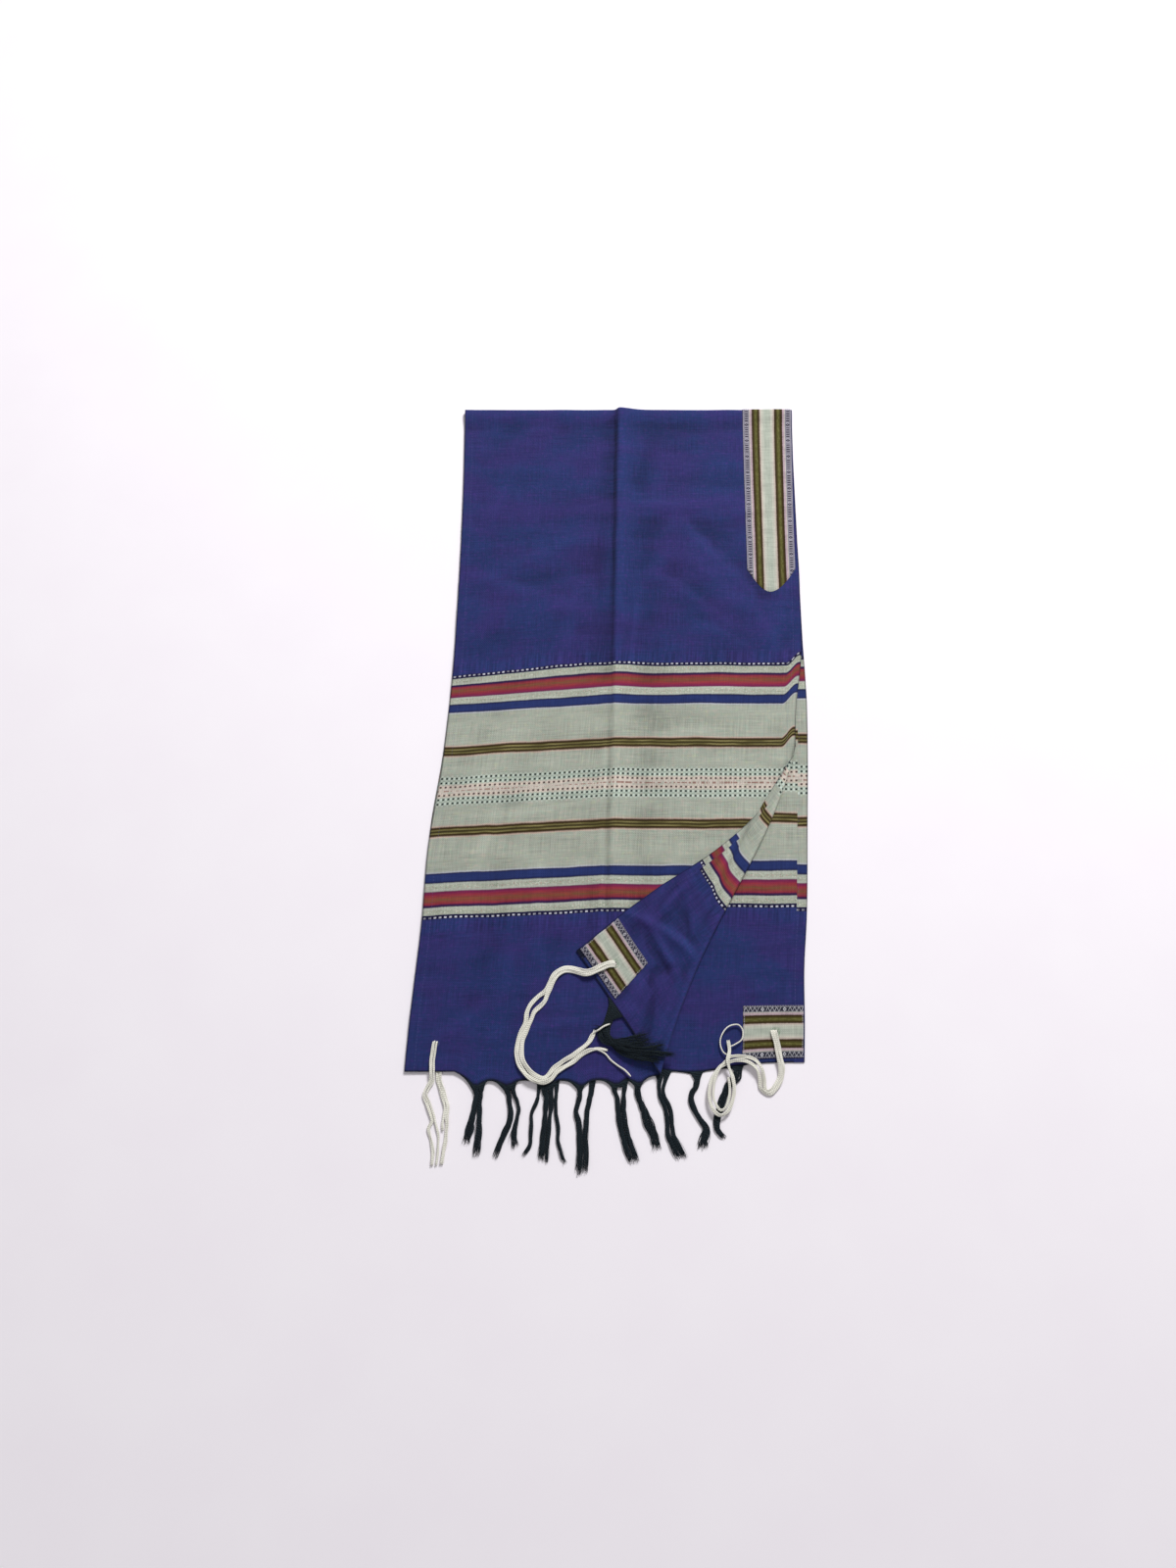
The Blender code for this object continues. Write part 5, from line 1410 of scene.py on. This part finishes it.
def toothed_strip(point, ends, roots):
    """The last woven picks: a strip whose depth rises to a tooth at each root.

    Depth = strip + tooth x exp(-(distance / flank)^1.4). The flank is long on one side of a root and
    short on the other, because each group of warp ends is drawn to one side as it is twisted.
    """
    low, high = min(ends), max(ends)
    across = np.linspace(low, high, int((high - low) * 1.2))
    edge = point(across, HALF_LENGTH)
    out = edge - point(across, HALF_LENGTH - 1.0)
    out /= np.linalg.norm(out, axis=-1, keepdims=True)
    up = facing(point, across, np.full_like(across, HALF_LENGTH))
    up *= np.sign(up[:, 2:])
    off = across[:, None] - np.asarray(roots)
    flank = np.where(off < 0, TOOTH_LEFT, TOOTH_RIGHT)
    tooth = np.exp(-np.abs(off / flank) ** 1.4).max(axis=1)
    depth = STRIP_DEPTH + (TOOTH_DEPTH - STRIP_DEPTH) * tooth + 0.4 * np.sin(across * 2.1) ** 2
    ends_off = np.clip(np.minimum(across - low, high - across) / 12, 0.15, 1)
    reach = np.array([-0.6, 0.25, 0.6, 1.0])[:, None] * (depth * ends_off)[None, :]
    reach[0] = -1.5
    middle = edge[None] + out[None] * reach[..., None]
    half = np.array([0.3, 0.4, 0.35, 0.2])[:, None, None]
    middle[..., 2] = np.maximum(middle[..., 2] - 0.04 * np.maximum(reach, 0), half[..., 0] + 0.05)
    points = np.concatenate([(middle + up * half).reshape(-1, 3), (middle - up * half).reshape(-1, 3)])
    places = np.stack(np.broadcast_arrays(across[None] * 0.004, reach * 0.001), axis=-1).reshape(-1, 2)
    return points, shell_faces(*reach.shape).tolist(), np.concatenate([places, places])


def build_fringe(name, point, ends, yarns, kinds, seed):
    """The strip, the bundles and the loose hairs at their tips, as one piece."""
    chance = np.random.default_rng(seed)
    roots = np.array([root for root, _, _ in yarns])
    parts = [toothed_strip(point, ends, roots)]
    for root, _, route in yarns:
        others = np.abs(roots - root)
        left = min(FAN_LEFT, np.min(others[roots < root], initial=2 * FAN_LEFT) / 2)
        right = min(FAN_RIGHT, np.min(others[roots > root], initial=2 * FAN_RIGHT) / 2)
        for count, radius, splay in kinds:
            starts = point(root + np.linspace(-left, right, count), HALF_LENGTH + 0.5)
            starts[:, 2] = np.maximum(starts[:, 2], radius + 0.2)
            parts.append(bundle(route, starts, count, radius, splay, chance))
    points, faces, uv = joined(parts)
    piece = make_piece(name, points, faces, fringe_finish, uv)
    return piece


fringe_upper = build_fringe("fringe_upper_yarns", upper_point, UPPER_STRIP_ENDS, UPPER_YARNS, TWISTED, 11)
fringe_lower = build_fringe("fringe_lower_yarns", lower_point, LOWER_STRIP_ENDS, LOWER_YARNS, TWISTED, 12)
fringe_turned = build_fringe("fringe_turned_yarns", upper_point, TURNED_STRIP_ENDS, TURNED_YARNS, LOOSE, 13)
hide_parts("fringe_upper")
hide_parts("fringe_lower")
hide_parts("fringe_turned")
print("fringes have", len(fringe_upper.data.polygons), len(fringe_lower.data.polygons),
      len(fringe_turned.data.polygons), "faces")

# %% [markdown]
# ## White corner cords
#
# A few thin white strings are doubled through the hole near each corner, and they lie side by side as
# a soft flat band until they part. Each strand follows the route of its solid, resampled at even
# steps. Its threads are round tubes in lanes beside each other, and the band rocks a little as it
# runs, as loose strings do. A separate tube for each thread lets single ends stray from the rest.

# %% Routes of the cords
# For each cord: the stretch that its two strands share, then each strand: the side it lies on, the
# points it passes on its own, and its ends, as a number of threads and the points only they pass.
CORDS = {
    "corner_cord_left": (
        ((-178.2, -321.5, 2.8), (-178.5, -324, 4.6), (-180.5, -341, 4.6), (-180.5, -355, 4.6),
         (-180.5, -366, 2.4), (-184.5, -373, 1.5), (-187.5, -382, 1.5), (-183.5, -392, 1.5),
         (-179, -403, 1.5), (-177, -411, 1.5)),
        ((-1, ((-182, -419, 1.5), (-180.5, -427, 1.5), (-177.5, -436, 1.5), (-176, -447, 1.5),
               (-176.5, -460, 1.5)), ((3, ()),)),
         (1, ((-172.5, -419, 1.5), (-170.5, -428, 1.5), (-170.5, -444, 1.5), (-171.5, -460, 1.5)),
          ((2, ()),))),
    ),
    "corner_cord_under": (
        ((-174, -353, 0.8), (-173, -364, 0.8), (-170, -374, 1.5), (-166, -385, 1.5),
         (-163, -395, 1.5), (-163.5, -405, 1.5)),
        ((-1, ((-166.5, -414, 1.5), (-165.8, -422, 1.5)), ((2, ()),)),
         (1, ((-161.5, -416, 1.5), (-162, -430, 1.5), (-164, -445, 1.5), (-166, -459, 1.5)), ((3, ()),))),
    ),
    "corner_cord_turned": (
        ((32.8, -230, 5.4), (29.5, -230.5, 7.9), (23, -231.5, 7.9), (11.5, -237, 7.9),
         (3.5, -240, 7.8), (-4.5, -241, 7.0),
         (-11.5, -239, 5.2), (-20, -236.5, 4.6), (-29, -237, 4.6), (-38, -243, 4.6),
         (-44, -253, 4.6), (-48.5, -263, 4.6)),
        ((-1, ((-59, -269, 4.6), (-67, -277.5, 4.6), (-71.5, -287.5, 4.6), (-73.5, -299, 4.6),
               (-78, -310.5, 4.6), (-82, -322, 4.6), (-83, -335.5, 4.6), (-79.5, -349, 4.8),
               (-72, -359, 5.2), (-62, -366, 5.6), (-52, -368.5, 5.8), (-43, -364.5, 5.2),
               (-36.5, -357, 4.8), (-26, -350, 4.6), (-15, -343, 4.6), (-3.5, -334, 4.6)),
          ((2, ((6, -330, 4.6), (15, -329.5, 4.6), (23, -331, 4.6))),
           (1, ((7, -331.5, 4.6), (18, -336.5, 4.6), (26, -344, 4.6), (34, -351, 4.6),
                (42, -356, 5.0), (48.5, -363, 5.4))))),
         (1, ((-50.5, -273.5, 4.6), (-56.5, -280.5, 4.6), (-63.5, -288, 4.6), (-67.5, -298, 4.6),
              (-72.5, -309.5, 4.6), (-76.5, -322, 4.6), (-77.5, -334, 4.6), (-74.5, -345.5, 4.6),
              (-67.5, -355, 4.8), (-60, -361, 5.2), (-52, -363.3, 5.2), (-45.5, -359.5, 4.8),
              (-38.5, -351, 4.6), (-28.5, -344, 4.6), (-17, -337, 4.6), (-6, -328.5, 4.6),
              (1.5, -322, 4.6), (5, -315, 4.6)),
          ((2, ((7, -308, 4.6),)),
           (1, ((9.5, -311.5, 5.4), (13, -310, 7.6), (19.5, -306, 8.0), (26.5, -303, 7.6)))))),
    ),
    "corner_cord_right": (
        ((218, -308.5, 2.0), (218, -311.5, 4.2), (220.5, -325, 4.2), (223, -341, 4.2), (224.5, -352, 3.6),
         (222.5, -364, 1.8), (216, -374, 1.6), (208, -379.5, 1.6)),
        ((-1, ((204, -373, 1.6), (204, -364, 2.2), (201.5, -353, 4.8), (196, -344.5, 5.2),
               (187.5, -340, 5.2), (177, -338.5, 5.2), (166, -339, 5.2)),
          ((1, ((157.5, -335.5, 5.0), (153.5, -327, 4.6), (154, -316, 4.6), (160.5, -306.5, 4.6),
                (169, -301, 4.6), (177.5, -301.5, 4.8), (182.5, -309.5, 5.0), (180.5, -320, 5.0),
                (171.5, -326.5, 4.6), (163, -329, 4.6))),
           (2, ((159, -344, 6.0), (151.5, -353, 6.0), (146.8, -363, 5.6), (144, -375, 5.4),
                (144, -386, 5.4), (147.5, -396, 5.4), (152.5, -400, 5.4), (158.5, -396, 5.4),
                (162.5, -386, 5.4), (164, -374, 5.4), (162.5, -362, 5.4))))),
         (1, ((199.5, -375, 1.6), (199, -365, 2.4), (196, -354, 4.8), (189.5, -347, 5.2),
              (180.5, -343.5, 5.2), (170.5, -343.5, 5.2), (162.5, -346, 5.2), (153.5, -350.5, 5.2),
              (145.5, -360, 5.2), (140.5, -373, 5.2), (139.5, -386, 5.2), (143, -398, 5.2),
              (151, -405, 5.2), (160, -400.5, 5.2), (166, -388.5, 5.2), (168.5, -375.5, 5.2),
              (167, -362, 5.2), (163.5, -352.5, 6.0)),
          ((3, ((162, -343, 8.0), (164.5, -332, 6.4), (163.5, -320, 4.8))),))),
    ),
}
CORD_HALF_WIDTH = 1.7
THREAD_RADIUS = 0.84
THREAD_SPACING = 1.4
THREAD_STEP = 1.3
# The turned corner's cord lies flatter and wider than the others, and the left one narrower.
THREAD_FULL = {"corner_cord_turned": 1.28, "corner_cord_left": 0.86}
print("cords:", ", ".join(CORDS))

# %% [markdown]
# ## From routes to threads
#
# A route is first cut into even steps, so that the threads rock and sway at the same pace all along it.
# The two strands of a cord lie beside each other on the stretch they share, and then each goes its own
# way. A thread's last points are its own, and its tip thins out.


# %% Build the cords
def even_steps(path, step):
    """The same path with points at even distances."""
    run = np.concatenate([[0], np.cumsum(np.linalg.norm(np.diff(path, axis=0), axis=1))])
    where = np.linspace(0, run[-1], max(int(run[-1] / step), 8))
    return np.stack([np.interp(where, run, path[:, axis]) for axis in range(3)], axis=1), where


def threads(controls, lanes, full, chance):
    """Threads beside each other on a flat band that rocks slowly as it runs.

    Each thread = path + lane x cos(rock) x side + lane x sin(rock) x up, with a slight sway of its own
    and rock = 0.7 x sin(distance / wave). A cut end thins out over its last millimetres.
    """
    path, run = even_steps(smooth_path(controls, 40 * len(controls)), THREAD_STEP)
    side, up = level_frames(path)
    rock = 0.7 * np.sin(run / 9.0 + chance.uniform(0, 6))
    sway = 0.16 * np.sin(run / 3.1 + chance.uniform(0, 6, (len(lanes), 1)))
    sideways = np.asarray(lanes)[:, None] * np.cos(rock) + sway
    bob = 0.12 * np.sin(run / 2.3 + chance.uniform(0, 6, (len(lanes), 1)))
    upward = np.asarray(lanes)[:, None] * np.sin(rock) * 0.6 + bob
    paths = path + sideways[..., None] * side + upward[..., None] * up
    taper = 1 - 0.6 * np.clip((run - run[-1] + 3) / 3, 0, 1)
    thin = THREAD_RADIUS * full * taper * np.ones((len(lanes), 1))
    return tubes(paths, thin, 8), run[-1]


def build_cord(name, shared, strands, seed):
    """Both strands of one cord: beside each other on the shared stretch, then each on its own."""
    chance = np.random.default_rng(seed)
    shared = np.array(shared)
    ahead = np.gradient(shared[:, :2], axis=0)
    ahead /= np.linalg.norm(ahead, axis=1, keepdims=True)
    left = np.stack([-ahead[:, 1], ahead[:, 0], 0 * ahead[:, 0]], axis=1)
    full = THREAD_FULL.get(name, 1.0)
    parts = []
    lengths = []
    for hand, strand, tails in strands:
        count = sum(number for number, _ in tails)
        lanes = THREAD_SPACING * full * (np.arange(count) - (count - 1) / 2)
        taken = 0
        for number, tail in tails:
            controls = np.concatenate([shared + hand * CORD_HALF_WIDTH * left, np.array([*strand, *tail])])
            part, length = threads(controls, lanes[taken:taken + number], full, chance)
            taken += number
            parts.append(part)
            lengths.append(round(float(length)))
    points, faces, uv = joined(parts)
    points[:, 2] = np.maximum(points[:, 2], 0.05)
    piece = make_piece(name + "_threads", points, faces, cord_finish, uv)
    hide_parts(name)
    print(name, "threads are", lengths, "mm long")
    return piece


cords = [build_cord(name, *stretches, 30 + number) for number, (name, stretches) in enumerate(CORDS.items())]

# %% [markdown]
# ## The woven sheets
#
# The cloth, the neckband and the two corner patches are the four woven sheets.

print("4 woven sheets: the cloth, the neckband and two corner patches")

# %% [markdown]
# ## Table and light
#
# The photograph has a pale, almost shadowless ground, so the light comes from large soft panels and
# from the sky colour all round. The main panel stands at the far right, which gives the pressed crease
# its dark left side.

# %% Floor and lights
FLOOR_HALF_SIZE = 4.0
FLOOR_LEVEL = -0.0003
# Each panel: name, place, the point it faces, size and power.
PANELS = (
    ("key_panel", (1.3, 2.8, 2.6), (0, 0, 0), 1.05, 174.0),
    ("fill_panel", (-1.6, -0.8, 2.4), (0, 0, 0), 2.4, 8.0),
)
ROOM_COLOUR = (1.0, 0.985, 1.0, 1.0)
ROOM_STRENGTH = 0.32


def add_floor():
    """A wide level plane just under the cloth, near white with a faint uneven tone."""
    mesh = bpy.data.meshes.new("table_top")
    size = FLOOR_HALF_SIZE
    level = FLOOR_LEVEL
    mesh.from_pydata([(-size, -size, level), (size, -size, level), (size, size, level), (-size, size, level)],
                     [], [(0, 1, 2, 3)])
    made = Finish("pale_table")
    place = made.node("ShaderNodeTexCoord", {}).outputs["Object"]
    specks = made.node("ShaderNodeTexNoise", {"Vector": place, "Scale": 9.0, "Detail": 3.0}).outputs["Fac"]
    made.paint(made.mix(specks, colour(246, 240, 247), colour(250, 246, 251)))
    made.feed(made.shader.inputs["Roughness"], made.ease(specks, 0.3, 0.7, 0.85, 0.95))
    mesh.materials.append(made.material)
    floor = bpy.data.objects.new("table_top", mesh)
    bpy.context.scene.collection.objects.link(floor)
    return floor


def add_panel(name, place, aim, size, power):
    """A square light panel turned to face a point."""
    light = bpy.data.lights.new(name, "AREA")
    light.shape = "SQUARE"
    light.size = size
    light.energy = power
    panel = bpy.data.objects.new(name, light)
    panel.location = place
    way = np.array(place) - np.array(aim)
    flat = np.hypot(way[0], way[1])
    panel.rotation_euler = (np.arctan2(flat, way[2]), 0.0, np.arctan2(way[1], way[0]) + np.pi / 2)
    bpy.context.scene.collection.objects.link(panel)
    return panel


floor = add_floor()
panels = [add_panel(*panel) for panel in PANELS]
world = bpy.data.worlds.new("soft_room")
world.use_nodes = True
world.node_tree.nodes["Background"].inputs["Color"].default_value = ROOM_COLOUR
world.node_tree.nodes["Background"].inputs["Strength"].default_value = ROOM_STRENGTH
bpy.context.scene.world = world
print("floor and", len(panels), "light panels added")
